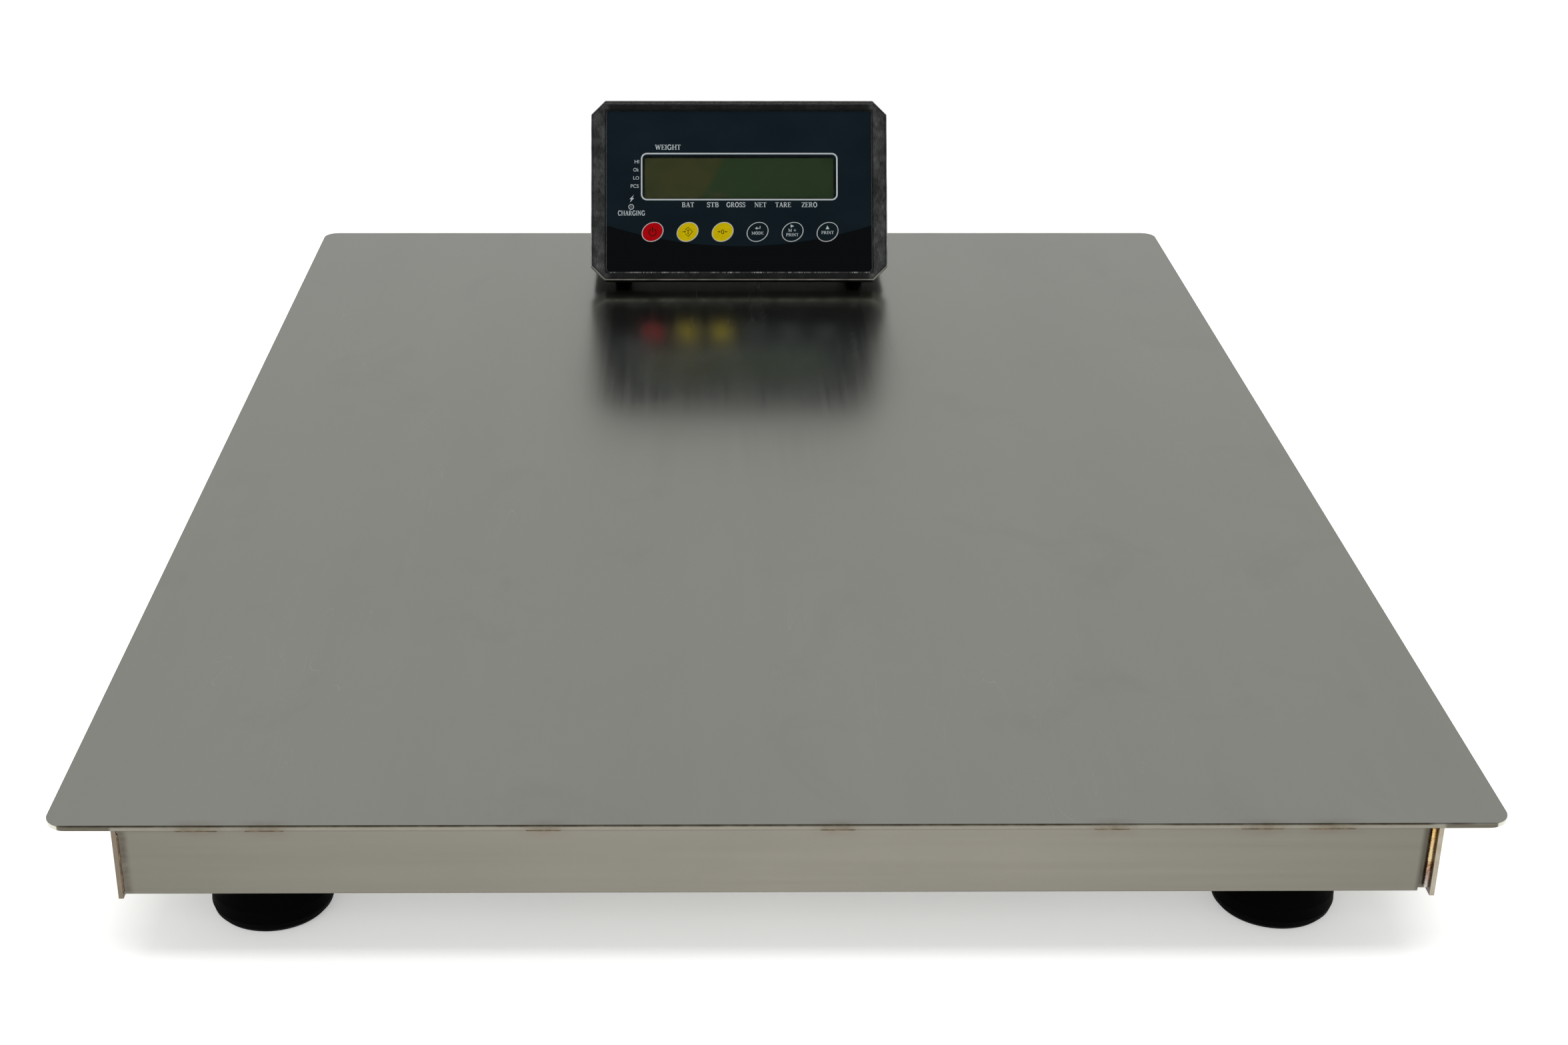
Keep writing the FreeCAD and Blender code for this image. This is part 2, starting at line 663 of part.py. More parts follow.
clips = []
for i, (cx, cy, turn) in enumerate(((-125, -380, 0), (125, -380, 0), (-125, -150, 0), (125, -150, 0), (-125, 60, 0),
                                    (125, 60, 0), (-125, 230, 0), (125, 230, 0), (-125, 380, 0), (125, 380, 0),
                                    (-90, 245, 1), (-270, 245, 1))):
    w, d = (7, 4) if turn == 0 else (4, 7)
    body = box("clip_block_%d" % i, cx - w, cy - d, lead_z - 5, cx + w, cy + d, deck_low)
    if turn == 0:
        bore = cylinder("clip_bore_%d" % i, cx, cy + 6, lead_z, lead_r + 0.05, 12, (1, 0, 0), 90)
    else:
        bore = cylinder("clip_bore_%d" % i, cx - 6, cy, lead_z, lead_r + 0.05, 12, (0, 1, 0), 90)
    clips.append(cut("clip_%d" % i, body, bore))
group("lead_clips", clips)

# ---- weight indicator ------------------------------------------------------
# Local frame of the face: u to the right, v up along the face, n outwards.
up_turn = 90 - lean
face_z = deck_top + face_gap
half, lo_v, hi_v = face_w / 2, Size.of(0), face_h


def on_face(obj):
    place(obj, ind_x, face_y, face_z, (1, 0, 0), up_turn)
    return obj


def octagon(inset):
    c = face_c - inset * (2 - math.sqrt(2))
    h, lo, hi = half - inset, lo_v + inset, hi_v - inset
    return [(-h + c, lo), (h - c, lo), (h, lo + c), (h, hi - c), (h - c, hi), (-h + c, hi), (-h, hi - c), (-h, lo + c)]


keys = ["power_key", "tare_key", "zero_key", "mode_key", "memory_key", "print_key"]
key_us = [key_u + key_p * i for i in range(6)]

b = new_body("front_bezel")
sk = new_sketch(b, "XY_Plane", -skirt)
polygon(sk, octagon(0))
pad(b, sk, skirt)
sk = new_sketch(b, "XY_Plane", -sheet_t)
polygon(sk, octagon(1.5))
pocket(b, sk, skirt)
sk = new_sketch(b, "XY_Plane", 0)
rectangle(sk, -win_w / 2, win_lo, win_w / 2, win_hi)
pocket(b, sk, 5)
round_edges(b, lambda m, t: abs(t.z) > 0.99 and abs(abs(m.x) - win_w.num / 2) < 0.1, 3.5)
round_edges(b, lambda m, t: abs(m.z) < 0.01 and abs(t.z) < 0.01 and
            (abs(m.x) > win_w.num / 2 + 2 or m.y < 4 or m.y > win_hi.num + 4), 1.2)
for side in (-1, 1):
    sk = new_sketch(b, "YZ_Plane", half * side - 2 * side)
    circle(sk, 45, -8.2, 2.35)
    circle(sk, 108, -8.2, 2.35)
    pocket(b, sk, 4, side > 0)
keep(on_face(b), "front_bezel")

b = new_body("backing_plate")
sk = new_sketch(b, "XY_Plane", -sheet_t - 1.8)
polygon(sk, octagon(2))
pad(b, sk, 1.8)
sk = new_sketch(b, "XY_Plane", 0)
rectangle(sk, -84.5, 64.8, 84.5, 109.7)
for u in key_us:
    circle(sk, u, key_v, 5.5)
circle(sk, led_u, led_v, 2.2)
pocket(b, sk, 6)
keep(on_face(b), "backing_plate")

b = new_body("keypad_overlay")
sk = new_sketch(b, "XY_Plane", -sheet_t)
rectangle(sk, -win_w / 2 + 0.2, win_lo + 0.2, win_w / 2 - 0.2, win_hi - 0.2)
pad(b, sk, 0.8)
round_edges(b, lambda m, t: abs(t.z) > 0.99, 3.3)
sk = new_sketch(b, "XY_Plane", 0)
rectangle(sk, -lcd_w / 2, lcd_lo, lcd_w / 2, lcd_hi)
circle(sk, led_u, led_v, 1.9)
pocket(b, sk, 4)
round_edges(b, lambda m, t: abs(t.z) > 0.99 and abs(abs(m.x) - lcd_w.num / 2) < 0.1 and lcd_lo.num - 1 < m.y < lcd_hi.num + 1, 3)
sk = new_sketch(b, "XY_Plane", 0)
for u in key_us:
    ellipse(sk, u, key_v, key_a + 0.3, key_b + 0.3, key_tilt)
pocket(b, sk, 4)
keep(on_face(b), "keypad_overlay")

for name, u in zip(keys, key_us):
    b = new_body(name)
    sk = new_sketch(b, "XY_Plane", -1.1)
    ellipse(sk, u, key_v, key_a, key_b, key_tilt)
    pad(b, sk, 0.6)
    sk = new_sketch(b, "XY_Plane", -3.5)
    circle(sk, u, key_v, 3)
    pad(b, sk, 2.6)
    keep(on_face(b), name)

b = new_body("display_window")
sk = new_sketch(b, "XY_Plane", -sheet_t)
rectangle(sk, -lcd_w / 2, lcd_lo, lcd_w / 2, lcd_hi)
pad(b, sk, 0.8)
round_edges(b, lambda m, t: abs(t.z) > 0.99, 3)
keep(on_face(b), "display_window")

b = new_body("lcd_module")
sk = new_sketch(b, "XY_Plane", -9.3)
rectangle(sk, -86, 62.7, 86, 112)
pad(b, sk, 6)
sk = new_sketch(b, "XY_Plane", -3.5)
rectangle(sk, -83.5, 65.8, 83.5, 108.7)
pad(b, sk, 1.6)
keep(on_face(b), "lcd_module")

b = new_body("keypad_board")
sk = new_sketch(b, "XY_Plane", -5.9)
rectangle(sk, -112, 22, 112, 60.3)
pad(b, sk, 1.6)
sk = new_sketch(b, "XY_Plane", -4.4)
for u in key_us:
    circle(sk, u, key_v, 5)
pad(b, sk, 0.45)
keep(on_face(b), "keypad_board")

keep(on_face(turned("charge_lamp", [(0, -8), (1.6, -8), (1.6, -1.3), (1.1, -0.6), (0, -0.4)])), "charge_lamp")
doc.recompute()
# the lamp stands at its own spot on the face
lamp = nodes["charge_lamp"]
cx = ind_x + led_u
cy = face_y + led_v * sin(lean)
cz = face_z + led_v * cos(lean)
place(lamp, cx, cy, cz, (1, 0, 0), up_turn)

b = new_body("main_board")
sk = new_sketch(b, "XY_Plane", -22)
rectangle(sk, -100, 64, 100, 130)
pad(b, sk, 1.6)
keep(on_face(b), "main_board")
b = new_body("board_standoffs")
posts = []
for i, (u, v) in enumerate(((-95, 69.5), (95, 69.5), (-95, 125), (95, 125))):
    p = turned("standoff_%d" % i, [(0, -20.4), (3.4, -20.4), (3.4, -3.3), (0, -3.3)],
               ind_x + u, face_y + v * sin(lean), face_z + v * cos(lean), (1, 0, 0), up_turn)
    posts.append(p)
doc.removeObject(b.Name)
group("board_standoffs", posts)

keep(box("battery_pack", ind_x - 52, 386, face_z + 0.6, ind_x + 52, 430, face_z + 41), "battery_pack")
b = new_body("battery_bracket")
sk = new_sketch(b, "YZ_Plane", ind_x - 18)
polygon(sk, [(384.2, face_z + 0.6), (385.7, face_z + 0.6), (385.7, face_z + 41.2), (430.3, face_z + 41.2),
             (430.3, face_z + 0.6), (431.8, face_z + 0.6), (431.8, face_z + 42.7), (384.2, face_z + 42.7)])
pad(b, sk, 36)
keep(b, "battery_bracket")

# rear housing: the wedge and the face outline together give its outer shape
def wedge(name, inset, front_n):
    b = new_body(name)
    sk = new_sketch(b, "YZ_Plane", ind_x - half + 2 + inset)
    v0, v1 = 1.8 + inset, face_h - 1.8 - inset
    y_lo = face_y + v0 * sin(lean) + front_n * cos(lean)
    z_lo = face_z + v0 * cos(lean) - front_n * sin(lean)
    y_hi = face_y + v1 * sin(lean) + front_n * cos(lean)
    z_hi = face_z + v1 * cos(lean) - front_n * sin(lean)
    polygon(sk, [(y_lo, z_lo), (back_y - inset, z_lo), (back_y - inset, z_hi), (y_hi, z_hi)])
    pad(b, sk, face_w - 4 - inset * 2)
    return b, z_lo


outer, base_z = wedge("wedge_outer", Size.of(0), Size.of(5))
inner_w, _ = wedge("wedge_inner", wall, Size.of(6.2))


def prism(name, inset):
    b = new_body(name)
    sk = new_sketch(b, "XY_Plane", -200)
    polygon(sk, octagon(inset))
    pad(b, sk, 230)
    return on_face(b)


shell_out = common("shell_out", outer, prism("outline_outer", 2))
shell_in = common("shell_in", inner_w, prism("outline_inner", 3.2))
shell = cut("shell", shell_out, shell_in)
b = new_body("mouth")
sk = new_sketch(b, "XY_Plane", -12)
rectangle(sk, -half + 9, 9.5, half - 9, face_h - 9.5)
pad(b, sk, 12)
mouth = on_face(b)
shell = cut("shell_open", shell, mouth)
gl_z = face_z + 27
gl_x = ind_x - 62
sock_x = ind_x + 70
shell = cut("shell_gland", shell, cylinder("hole_gland", gl_x, back_y + 5, gl_z, 6.1, 12, (1, 0, 0), 90))
shell = cut("shell_socket", shell, cylinder("hole_socket", sock_x, back_y + 5, gl_z, 4.1, 12, (1, 0, 0), 90))
side_holes = []
for i, (side, v) in enumerate(((-1, 45), (-1, 108), (1, 45), (1, 108))):
    yy = face_y + v * sin(lean) + 8.2 * cos(lean)
    zz = face_z + v * cos(lean) - 8.2 * sin(lean)
    side_holes.append(cylinder("hole_side_%d" % i, ind_x + half * side - 8 * side, yy, zz, 1.6, 16, (0, 1, 0), 90 * side))
for i, h in enumerate(side_holes):
    shell = cut("shell_side_%d" % i, shell, h)
keep(shell, "rear_housing")

b = new_body("housing_seal")
sk = new_sketch(b, "XY_Plane", -5)
polygon(sk, octagon(2.4))
pad(b, sk, 1.7)
sk = new_sketch(b, "XY_Plane", 0)
rectangle(sk, -half + 8.5, 9, half - 8.5, face_h - 9)
pocket(b, sk, 8)
keep(on_face(b), "housing_seal")

screws = []
for i, (side, v) in enumerate(((-1, 45), (-1, 108), (1, 45), (1, 108))):
    yy = face_y + v * sin(lean) + 8.2 * cos(lean)
    zz = face_z + v * cos(lean) - 8.2 * sin(lean)
    screws.append(turned("housing_screw_%d" % i, [(0, 0), (2.2, 0), (2.2, -1.3), (1.5, -1.4), (1.5, -6), (0, -6)],
                         ind_x + half * side, yy, zz, (0, 1, 0), 90 * side))
group("housing_screws", screws)

pads = []
for i, (dx, yy) in enumerate(((-98, 364), (98, 364), (-98, 424), (98, 424))):
    pads.append(turned("indicator_foot_%d" % i, [(0, deck_top), (6.4, deck_top), (7.2, deck_top + 1), (7.2, base_z), (0, base_z)],
                       ind_x + dx, yy, 0))
group("indicator_feet", pads)

keep(turned("indicator_cable_gland",
            [(2.6, -6), (5.9, -6), (5.9, 0), (9, 0), (9, 6), (7.8, 6.4), (7.8, 13), (5.4, 16.5), (2.6, 16.5)],
            gl_x, back_y, gl_z, (1, 0, 0), -90), "indicator_cable_gland")
keep(turned("charger_socket",
            [(0, -9), (3.9, -9), (3.9, 0), (6, 0), (6, 2), (2.8, 2), (2.8, -7), (1.0, -7), (1.0, 0.5), (0, 0.5)],
            sock_x, back_y, gl_z, (1, 0, 0), -90), "charger_socket")

# ---- check and write -------------------------------------------------------
doc.recompute()
bad = [o.Label for o in doc.Objects if "Invalid" in o.State or "Error" in o.State]
if bad:
    raise RuntimeError("objects that failed: %s" % bad)
for name, obj in nodes.items():
    if obj.Shape.isNull() or not obj.Shape.isValid() or not obj.Shape.Solids:
        raise RuntimeError("bad shape: " + name)
os.makedirs("parts", exist_ok=True)
for name, obj in sorted(nodes.items()):
    obj.Shape.exportStep("parts/%s.step" % name)
    bb = obj.Shape.BoundBox
    print("%-28s solids %2d vol %10.0f  x %.1f..%.1f y %.1f..%.1f z %.1f..%.1f" % (
        name, len(obj.Shape.Solids), obj.Shape.Volume, bb.XMin, bb.XMax, bb.YMin, bb.YMax, bb.ZMin, bb.ZMax))
print(len(nodes), "nodes")
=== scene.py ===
import bpy
import bmesh
import math
from mathutils import Matrix, Vector, noise


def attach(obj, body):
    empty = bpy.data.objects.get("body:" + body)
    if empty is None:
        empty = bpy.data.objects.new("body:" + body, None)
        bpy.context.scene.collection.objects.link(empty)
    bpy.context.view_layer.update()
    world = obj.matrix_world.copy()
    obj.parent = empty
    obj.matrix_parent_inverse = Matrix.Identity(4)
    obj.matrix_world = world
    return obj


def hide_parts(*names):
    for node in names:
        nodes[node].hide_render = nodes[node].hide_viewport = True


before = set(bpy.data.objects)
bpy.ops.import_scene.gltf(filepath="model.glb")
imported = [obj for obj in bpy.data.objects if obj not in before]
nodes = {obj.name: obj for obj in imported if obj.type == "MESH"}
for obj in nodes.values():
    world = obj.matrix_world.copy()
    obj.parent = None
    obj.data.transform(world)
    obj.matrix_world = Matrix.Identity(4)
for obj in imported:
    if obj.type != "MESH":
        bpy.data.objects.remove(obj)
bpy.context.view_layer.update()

scene = bpy.context.scene
MM = 0.001

# ---------------------------------------------------------------- camera
yaw, pitch, roll = -0.00933, 0.43006, 0.00275
fwd = Vector((-math.sin(yaw) * math.cos(pitch), math.cos(yaw) * math.cos(pitch), -math.sin(pitch)))
rgt = Vector((math.cos(yaw), math.sin(yaw), 0.0))
upv = rgt.cross(fwd)
r2 = rgt * math.cos(roll) + upv * math.sin(roll)
u2 = upv * math.cos(roll) - rgt * math.sin(roll)
cam_data = bpy.data.cameras.new("camera")
cam_data.sensor_width = 36.0
cam_data.lens = 3419.41 / 2352 * 36.0
cam_data.shift_x = 0.0467
cam_data.clip_start = 0.01
cam_data.clip_end = 100.0
cam = bpy.data.objects.new("camera", cam_data)
scene.collection.objects.link(cam)
m = Matrix((
    (r2.x, u2.x, -fwd.x, -0.044537),
    (r2.y, u2.y, -fwd.y, -1.489337),
    (r2.z, u2.z, -fwd.z, 0.707208),
    (0, 0, 0, 1)))
cam.matrix_world = m
scene.camera = cam
scene.view_settings.view_transform = "Standard"
scene.view_settings.look = "None"
scene.view_settings.exposure = 0.0
scene.view_settings.gamma = 1.0

# ---------------------------------------------------------------- floor and light
def link(o):
    scene.collection.objects.link(o)
    return o


me = bpy.data.meshes.new("floor")
S = 60.0
me.from_pydata([(-S, -S, 0), (S, -S, 0), (S, S, 0), (-S, S, 0)], [], [(0, 1, 2, 3)])
floor = link(bpy.data.objects.new("floor", me))

world = bpy.data.worlds.new("studio")
scene.world = world
world.use_nodes = True
bg = world.node_tree.nodes["Background"]
bg.inputs["Color"].default_value = (0.97, 0.98, 1.0, 1)
bg.inputs["Strength"].default_value = 0.50


def area(name, loc, target, size, size_y, energy, color=(1, 1, 1)):
    d = bpy.data.lights.new(name, "AREA")
    d.shape = "RECTANGLE"
    d.size, d.size_y = size, size_y
    d.energy = energy
    d.color = color
    o = link(bpy.data.objects.new(name, d))
    o.location = loc
    o.rotation_euler = (Vector(target) - Vector(loc)).to_track_quat("-Z", "Y").to_euler()
    return o


top = area("overhead", (0.0, 0.2, 3.2), (0, 0.1, 0), 4.2, 3.4, 150, (1.0, 0.995, 0.98))
top.visible_glossy = False
fill = area("front_fill", (-0.8, -3.4, 2.2), (0, 0, 0.1), 2.4, 1.6, 30, (1.0, 0.99, 0.97))
fill.visible_glossy = False

# ---------------------------------------------------------------- node helpers
class Mat:
    def __init__(self, name):
        self.m = bpy.data.materials.new(name)
        self.m.use_nodes = True
        self.t = self.m.node_tree
        self.t.nodes.clear()
        self.out = self.t.nodes.new("ShaderNodeOutputMaterial")
        self.b = self.t.nodes.new("ShaderNodeBsdfPrincipled")
        self.t.links.new(self.b.outputs[0], self.out.inputs[0])
        self.tc = self.t.nodes.new("ShaderNodeTexCoord")

    def put(self, socket, value):
        s = self.b.inputs[socket]
        if hasattr(value, "is_output"):
            self.t.links.new(value, s)
        else:
            s.default_value = value

    def set(self, **kw):
        names = {"color": "Base Color", "metal": "Metallic", "rough": "Roughness", "spec": "Specular IOR Level",
                 "coat": "Coat Weight", "coat_rough": "Coat Roughness", "aniso": "Anisotropic", "normal": "Normal",
                 "ior": "IOR", "trans": "Transmission Weight", "alpha": "Alpha", "tangent": "Tangent",
                 "emit": "Emission Color", "emit_s": "Emission Strength", "sheen": "Sheen Weight"}
        for k, v in kw.items():
            if k == "color" and not hasattr(v, "is_output") and len(v) == 3:
                v = (v[0], v[1], v[2], 1)
            self.put(names[k], v)
        return self

    def node(self, kind, **props):
        n = self.t.nodes.new(kind)
        for k, v in props.items():
            setattr(n, k, v)
        return n

    def wire(self, value, socket):
        if hasattr(value, "is_output"):
            self.t.links.new(value, socket)
        else:
            socket.default_value = value

    def coords(self, scale=(1, 1, 1), loc=(0, 0, 0), rot=(0, 0, 0)):
        n = self.node("ShaderNodeMapping")
        self.t.links.new(self.tc.outputs["Object"], n.inputs["Vector"])
        n.inputs["Scale"].default_value = scale
        n.inputs["Location"].default_value = loc
        n.inputs["Rotation"].default_value = rot
        return n.outputs[0]

    def noise(self, vec, scale=1.0, detail=3.0, rough=0.5, dist=0.0, colour=False):
        n = self.node("ShaderNodeTexNoise")
        self.t.links.new(vec, n.inputs["Vector"])
        n.inputs["Scale"].default_value = scale
        n.inputs["Detail"].default_value = detail
        n.inputs["Roughness"].default_value = rough
        n.inputs["Distortion"].default_value = dist
        return n.outputs["Color" if colour else "Fac"]

    def voronoi(self, vec, scale=1.0, feature="F1"):
        n = self.node("ShaderNodeTexVoronoi", feature=feature)
        self.t.links.new(vec, n.inputs["Vector"])
        n.inputs["Scale"].default_value = scale
        return n.outputs["Distance"]

    def math(self, op, a, b=0.0, c=0.0, clamp=False):
        n = self.node("ShaderNodeMath", operation=op, use_clamp=clamp)
        self.wire(a, n.inputs[0])
        self.wire(b, n.inputs[1])
        self.wire(c, n.inputs[2])
        return n.outputs[0]

    def range(self, v, lo, hi, a=0.0, b=1.0, smooth=False):
        n = self.node("ShaderNodeMapRange", clamp=True, interpolation_type="SMOOTHSTEP" if smooth else "LINEAR")
        self.wire(v, n.inputs[0])
        for i, x in zip((1, 2, 3, 4), (lo, hi, a, b)):
            self.wire(x, n.inputs[i])
        return n.outputs[0]

    def mix(self, fac, a, b, blend="MIX"):
        n = self.node("ShaderNodeMix", data_type="RGBA", blend_type=blend)
        self.wire(fac, n.inputs[0])
        for v, i in ((a, 6), (b, 7)):
            if not hasattr(v, "is_output") and len(v) == 3:
                v = (v[0], v[1], v[2], 1)
            self.wire(v, n.inputs[i])
        return n.outputs[2]

    def split(self, vec):
        n = self.node("ShaderNodeSeparateXYZ")
        self.t.links.new(vec, n.inputs[0])
        return n.outputs[0], n.outputs[1], n.outputs[2]

    def dot(self, vec, d):
        n = self.node("ShaderNodeVectorMath", operation="DOT_PRODUCT")
        self.t.links.new(vec, n.inputs[0])
        n.inputs[1].default_value = d
        return n.outputs["Value"]

    def bump(self, height, strength=0.2, distance=0.0002, normal=None):
        n = self.node("ShaderNodeBump")
        n.inputs["Strength"].default_value = strength
        n.inputs["Distance"].default_value = distance
        self.t.links.new(height, n.inputs["Height"])
        if normal is not None:
            self.t.links.new(normal, n.inputs["Normal"])
        return n.outputs[0]

    def add(self, *vals):
        r = vals[0]
        for v in vals[1:]:
            r = self.math("ADD", r, v)
        return r

    def mul(self, a, b):
        return self.math("MULTIPLY", a, b)


def wear(M, vec_scale=(1, 1, 1)):
    return M.noise(M.coords(vec_scale), 1.0, 4, 0.6)


# brushed stainless: grain runs along one axis
def brushed(name, light, dark, grain="Y", rough=0.3, spread=0.06, aniso=0.5, streaks=0.5, blotch=0.4, bump=0.05,
            fine=1400.0, extra=None, ridge=0.3, rough_extra=None):
    M = Mat(name)
    ax = {"X": 0, "Y": 1, "Z": 2}[grain]

    def sc(a, b):
        v = [a, a, a]
        v[ax] = b
        return tuple(v)
    hair = M.noise(M.coords(sc(fine, fine / 160)), 1.0, 2, 0.55)
    line = M.noise(M.coords(sc(fine / 7, fine / 420), (3.1, 1.7, 0.4)), 1.0, 4, 0.62)
    band = M.noise(M.coords(sc(26, 0.9), (0.3, 2.2, 5.0)), 1.0, 3, 0.5)
    cloud = M.noise(M.coords((5.5, 3.2, 9)), 1.0, 5, 0.6, 0.4)
    mixv = M.add(M.mul(hair, 0.20 * streaks), M.mul(line, 0.42 * streaks), M.mul(band, 0.7 * streaks),
                 M.mul(cloud, blotch))
    total = 0.66 * streaks + blotch * 0.5
    v = M.range(mixv, total - 0.34, total + 0.34)
    col = M.mix(v, dark, light)
    if extra:
        col = extra(M, col)
    rg = M.add(M.range(line, 0.3, 0.7, rough - spread, rough + spread), M.range(cloud, 0.35, 0.7, -0.025, 0.03))
    if rough_extra:
        rg = rough_extra(M, rg)
    h = M.add(M.mul(hair, 1.0), M.mul(line, ridge))
    n = M.bump(h, bump, 0.0001)
    M.set(color=col, metal=1.0, rough=rg, aniso=aniso, normal=n)
    t = M.node("ShaderNodeCombineXYZ")
    across = {"X": (0, 0, 1), "Y": (1, 0, 0), "Z": (1, 0, 0)}[grain]
    for i in range(3):
        t.inputs[i].default_value = across[i]
    M.t.links.new(t.outputs[0], M.b.inputs["Tangent"])
    return M.m


# ---------------------------------------------------------------- materials
def near(M, coord, at, width):
    """1 at coord == at, falling to 0 over width"""
    d = M.math("ABSOLUTE", M.math("SUBTRACT", coord, at))
    return M.range(d, 0.0, width, 1.0, 0.0, smooth=True)


STITCH = [(-0.297, 0.022), (-0.262, 0.020), (-0.120, 0.018), (0.030, 0.018), (0.170, 0.018), (0.247, 0.022), (0.283, 0.024)]


def deck_extra(M, col):
    x, y, z = M.split(M.coords())
    # fine random scratches, long and slightly curved
    sc = M.coords((34, 5.0, 30), (0.2, 0.7, 0), (0, 0, 0.35))
    w = M.noise(sc, 1.0, 1, 0.4, 2.2)
    s1 = M.range(M.math("ABSOLUTE", M.math("SUBTRACT", w, 0.5)), 0.0, 0.0022, 1.0, 0.0)
    gate = M.range(M.noise(M.coords((7, 5, 6), (4, 4, 4)), 1.0, 2), 0.52, 0.62)
    col = M.mix(M.mul(M.mul(s1, gate), 0.30), col, (0.66, 0.66, 0.63))
    # thumbed and wiped patches
    p = M.range(M.noise(M.coords((13, 9, 12), (9, 1, 2)), 1.0, 5, 0.62, 0.8), 0.56, 0.74)
    col = M.mix(M.mul(p, 0.16), col, (0.33, 0.33, 0.30))
    # heat tint close to the front and rear arris at the stitches
    edge = M.range(M.math("ABSOLUTE", y), 0.4935, 0.4995)
    tint = None
    for cx, ln in STITCH:
        k = near(M, x, cx, ln * 0.9)
        tint = k if tint is None else M.math("MAXIMUM", tint, k)
    br = M.range(M.noise(M.coords((160, 160, 160)), 1.0, 3), 0.3, 0.7, 0.4, 1.0)
    col = M.mix(M.mul(M.mul(M.mul(edge, tint), br), 0.42), col, (0.20, 0.145, 0.09))
    # the sheet's edge: a dark line of painted shade at the arris, with a painted highlight glinting along it on the
    # right, and a ground lip that matches the apron below it, whose darkened tone is painted shade of an upright face
    side = M.range(M.math("ABSOLUTE", y), 0.49905, 0.4994)
    lip = M.mul(side, M.range(z, 0.0838, 0.0833, 0.0, 1.0))
    col = M.mix(lip, col, (0.245, 0.235, 0.195))
    wob = M.noise(M.coords((90, 20, 20), (2, 2, 2)), 1.0, 4, 0.65)
    line = M.mul(side, M.range(z, 0.0828, 0.0834))
    dark = M.mix(M.range(wob, 0.35, 0.65), (0.075, 0.062, 0.042), (0.145, 0.135, 0.105))
    glint = M.mul(M.range(x, 0.13, 0.30), M.range(M.noise(M.coords((22, 3, 3), (8, 1, 1)), 1.0, 2), 0.42, 0.52))
    dark = M.mix(M.mul(glint, 0.8), dark, (0.36, 0.35, 0.31))
    col = M.mix(line, col, dark)
    lip_br = M.mul(M.mul(lip, tint), br)
    col = M.mix(M.mul(lip_br, 0.6), col, (0.110, 0.078, 0.048))
    over = M.mul(M.range(M.math("ABSOLUTE", x), 0.3395, 0.341), lip)
    col = M.mix(M.mul(over, 0.75), col, (0.085, 0.075, 0.055))
    # painted shade: the side edge faces are darkened part of the way towards the apron's tone
    ends = M.range(M.math("ABSOLUTE", x), 0.3742, 0.3748)
    col = M.mix(M.mul(ends, 0.5), col, (0.22, 0.21, 0.18))
    return col


def deck_edge_rough(M, rg):
    x, y, z = M.split(M.coords())
    side = M.math("MAXIMUM", M.range(M.math("ABSOLUTE", y), 0.4991, 0.4995), M.range(M.math("ABSOLUTE", x), 0.3742, 0.3747))
    return M.add(rg, M.mul(side, 0.34))


mat_deck = brushed("deck_brushed_steel", (0.500, 0.496, 0.436), (0.440, 0.436, 0.384), "Y", 0.235, 0.025, 0.64, 0.40, 0.55, 0.03,
                   extra=deck_extra, ridge=0.05, rough_extra=deck_edge_rough)


def apron_extra(M, col):
    x, y, z = M.split(M.coords())
    ax = M.math("ABSOLUTE", x)
    tint = None
    for cx, ln in STITCH:
        k = near(M, x, cx, ln * 1.0)
        tint = k if tint is None else M.math("MAXIMUM", tint, k)
    top = M.range(z, 0.0735, 0.0808, 0.0, 1.0, smooth=True)
    br = M.range(M.noise(M.coords((130, 130, 190)), 1.0, 4), 0.3, 0.7, 0.3, 1.0)
    col = M.mix(M.mul(M.mul(M.mul(tint, top), br), 0.40), col, (0.15, 0.105, 0.068))
    seam = M.range(z, 0.0797, 0.0809)
    col = M.mix(M.mul(seam, 0.55), col, (0.13, 0.105, 0.08))
    # brown band beside the left corner weld: painted shade of the corner recess over a brown heat tint
    left_recess_shade = M.range(x, -0.3310, -0.3352, 0.0, 1.0, smooth=True)
    col = M.mix(M.mul(M.mul(left_recess_shade, br), 0.95), col, (0.055, 0.036, 0.026))
    # painted shade: a dark strip at the right end, in the gap beside the right corner weld
    right_gap_shade = M.range(x, 0.3290, 0.3312, 0.0, 1.0)
    col = M.mix(M.mul(right_gap_shade, 0.85), col, (0.045, 0.035, 0.025))
    # painted shade: darker towards both ends
    apron_end_shade = M.range(ax, 0.12, 0.335, 0.0, 1.0)
    col = M.mix(M.mul(apron_end_shade, 0.42), col, (0.100, 0.098, 0.080))
    # painted light: lighter along the bottom edge
    low = M.range(z, 0.0450, 0.0422, 0.0, 1.0, smooth=True)
    col = M.mix(M.mul(low, 0.30), col, (0.22, 0.20, 0.15))
    return col


# painted shade: the apron is the same steel as the deck, but its base colour is set far darker to stand in for its
# upright front face taking less light
mat_apron = brushed("apron_brushed_steel", (0.214, 0.203, 0.174), (0.160, 0.153, 0.130), "X", 0.36, 0.06, 0.4, 0.6, 0.9, 0.05,
                    extra=apron_extra)


def rail_extra(M, col):
    x, y, z = M.split(M.coords())
    ay = M.math("ABSOLUTE", y)
    br = M.range(M.noise(M.coords((120, 120, 120)), 1.0, 4), 0.3, 0.7, 0.35, 1.0)
    e = M.range(ay, 0.480, 0.497, 0.0, 1.0, smooth=True)
    col = M.mix(M.mul(M.mul(e, br), 0.55), col, (0.19, 0.12, 0.07))
    # painted shade: the left rail's front end darkened to brown at the shaded left corner recess
    end = M.mul(M.range(ay, 0.4970, 0.4985), M.range(x, 0.0, -0.01))
    col = M.mix(M.mul(end, 0.85), col, (0.125, 0.100, 0.075))
    return col


